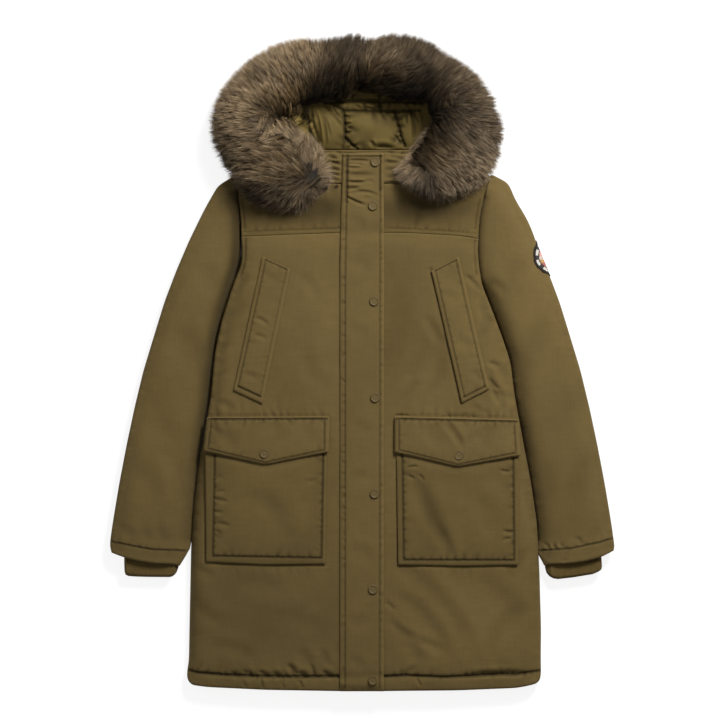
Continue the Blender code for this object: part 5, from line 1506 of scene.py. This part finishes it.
def grow_fur():
    """Locks that draw together into tufts, each with its hairs as tapering strips."""
    rng = np.random.default_rng(90)
    tip, middle = fur_surface(*fur_places(LOCKS, rng))
    count = len(tip)
    hub, _ = fur_surface(*fur_places(TUFTS, rng))
    tree = kd_tree(hub)
    tuft = np.array([tree.find(place)[1] for place in tip.tolist()])
    flow, sure, tone = fur_lie(tip)
    swirl = (0.25 * noise(tip[:, 0], tip[:, 1], 30, 610) + rng.normal(0, 0.06, len(hub))[tuft]
             + rng.normal(0, 0.08, count))
    c, s = np.cos(swirl), np.sin(swirl)
    flow = np.column_stack([flow[:, 0] * c - flow[:, 1] * s, flow[:, 0] * s + flow[:, 1] * c])
    radial = unit(tip - middle)
    length = rng.uniform(30, 48, count) * rng.uniform(0.9, 1.1, len(hub))[tuft]
    tip = middle + (tip - middle) * rng.normal(1.0, 0.03, count)[:, None]
    tip += 0.06 * (hub[tuft] - tip) * rng.uniform(0.0, 1.0, count)[:, None]
    lean = np.ones(count)
    for share in (0.75, 0.5, 0.3, 0.12, 0.0):  # a lock stands up until its root is in the fur
        lie = np.column_stack([flow * (0.88 * lean * np.clip(sure * 1.3, 0.2, 1))[:, None], np.zeros(count)])
        lie = unit(lie + radial * (0.40 + 0.5 * (1 - lean))[:, None], 0)
        root = tip - lie * length[:, None]
        lean = np.where(inside(root[:, :2], fur_footprint), lean, share)
    centre, reach, share = FUR_THIN
    near = np.minimum(*(np.hypot(*((root + (tip - root) * t)[:, :2] - centre).T) for t in HAIR_STEPS[1:]))
    stays = rng.random(count) > share * falloff(near, reach, 4)
    root, tip, radial, flow, lie, tuft, length, tone = (
        values[stays] for values in (root, tip, radial, flow, lie, tuft, length, tone)
    )
    count = len(root)
    control = root + radial * (length * 0.50)[:, None]
    control[:, :2] += flow * (length * 0.14)[:, None]
    tone = 0.77 * tone**1.7 * np.exp(0.25 * noise(tip[:, 0], tip[:, 1], 22, 612) + rng.normal(0, 0.24, count)
                                    + rng.normal(0, 0.10, len(hub))[tuft])

    # the hairs of each lock
    lock = np.repeat(np.arange(count), HAIRS)
    hairs = len(lock)
    spin = rng.uniform(0, TURN, hairs)
    wide = np.sqrt(rng.random(hairs))
    side_a = unit(np.cross(lie[lock], (0.0, 0.0, 1.0)))
    side_b = np.cross(lie[lock], side_a)
    spread = side_a * (np.cos(spin) * wide)[:, None] + side_b * (np.sin(spin) * wide)[:, None]
    base_size = rng.uniform(1.6, 3.2, count)[lock]
    tip_size = rng.uniform(1.2, 3.6, count)[lock]
    stretch = rng.uniform(0.70, 1.05, hairs)
    p0 = root[lock] + spread * base_size[:, None]
    p1 = control[lock] + spread * (0.8 * base_size)[:, None]
    p2 = (root[lock] + (tip[lock] - root[lock]) * stretch[:, None]
          + spread * tip_size[:, None] + rng.normal(0, 1.6, (hairs, 3)))
    path = np.stack([p0 * (1 - t) ** 2 + 2 * p1 * t * (1 - t) + p2 * t * t for t in HAIR_STEPS], axis=1)
    path[:, :, 2] = np.clip(path[:, :, 2], 3.0, 91.0)
    facing = radial[lock] + np.array((0, 0, 0.6)) + rng.normal(0, 0.25, (hairs, 3))
    across = unit(np.cross(unit(path[:, -1] - path[:, 0]), facing)) * rng.uniform(0.20, 0.36, hairs)[:, None]
    points = np.stack([path[:, 0] - across, path[:, 0] + across,
                       path[:, 1] - across, path[:, 1] + across, path[:, 2]], axis=1)  # hairs x 5 x 3
    along = np.array([0, 0, 0.55, 0.55, 1.0]) * stretch[:, None] * rng.uniform(0.90, 1.06, (hairs, 1))
    # Each hair's lightness: its own tone with the table's painted light and shade.
    shade = np.repeat((tone[lock] * np.exp(rng.normal(0, 0.42, hairs)))[:, None], 5, axis=1)
    strip = np.array([(0, 1, 3), (0, 3, 2), (2, 3, 4)])
    for part in range(FUR_PARTS):
        mine = np.flatnonzero(lock % FUR_PARTS == part)
        faces = (strip + (np.arange(len(mine)) * 5)[:, None, None]).reshape(-1, 3).tolist()
        obj = make_object(f"fur_hair_{part + 1}", points[mine].reshape(-1, 3), faces, fur_material,
                          {"along": np.clip(along[mine], 0, 1).ravel(),
                           "shade": np.clip(shade[mine], 0.1, 2.6).ravel()})
        if part == 0:
            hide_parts("fur_trim")


fur_material = make_fur_material()
make_core()
grow_fur()


# ---------------------------------------------------------------- floor, light and camera

VIEW_CENTRE = (-0.0032, 0.0025)
VIEW_WIDTH = 1.1592
CAMERA_HEIGHT, CLOTH_HEIGHT = 10.0, 0.02
SENSOR = 36.0
FLOOR_HALF = 6


def make_floor():
    look = Look("floor_paper", Base_Color=(0.20, 0.20, 0.20, 1), Roughness=0.9, Specular_IOR_Level=0.0,
                Emission_Color=(1, 1, 1, 1), Emission_Strength=0.86)
    mesh = bpy.data.meshes.new("floor")
    corners = ((-1, -1), (1, -1), (1, 1), (-1, 1))
    mesh.from_pydata([(x * FLOOR_HALF, y * FLOOR_HALF, -0.0005) for x, y in corners], [], [(0, 1, 2, 3)])
    mesh.materials.append(look.material)
    placed("floor", mesh)


def area_light(name, place, size, power):
    light = bpy.data.lights.new(name, "AREA")
    light.shape = "SQUARE"
    light.size = size
    light.energy = power
    obj = placed(name, light)
    obj.location = place
    obj.rotation_euler = (-Vector(place)).to_track_quat("-Z", "Y").to_euler()


make_floor()
area_light("key", (0.9, 1.6, 1.7), 0.8, 104)
area_light("fill", (-2.4, 0.4, 2.6), 2.4, 14)
world = bpy.data.worlds.new("studio")
world.use_nodes = True
world.node_tree.nodes["Background"].inputs["Color"].default_value = (1, 1, 1, 1)
world.node_tree.nodes["Background"].inputs["Strength"].default_value = 0.30
bpy.context.scene.world = world
bpy.context.scene.view_settings.view_transform = "Standard"

camera = placed("camera", bpy.data.cameras.new("camera"))
camera.data.sensor_width = SENSOR
camera.data.lens = SENSOR * (CAMERA_HEIGHT - CLOTH_HEIGHT) / VIEW_WIDTH
camera.data.clip_end = 100.0
camera.location = (*VIEW_CENTRE, CAMERA_HEIGHT)
bpy.context.scene.camera = camera
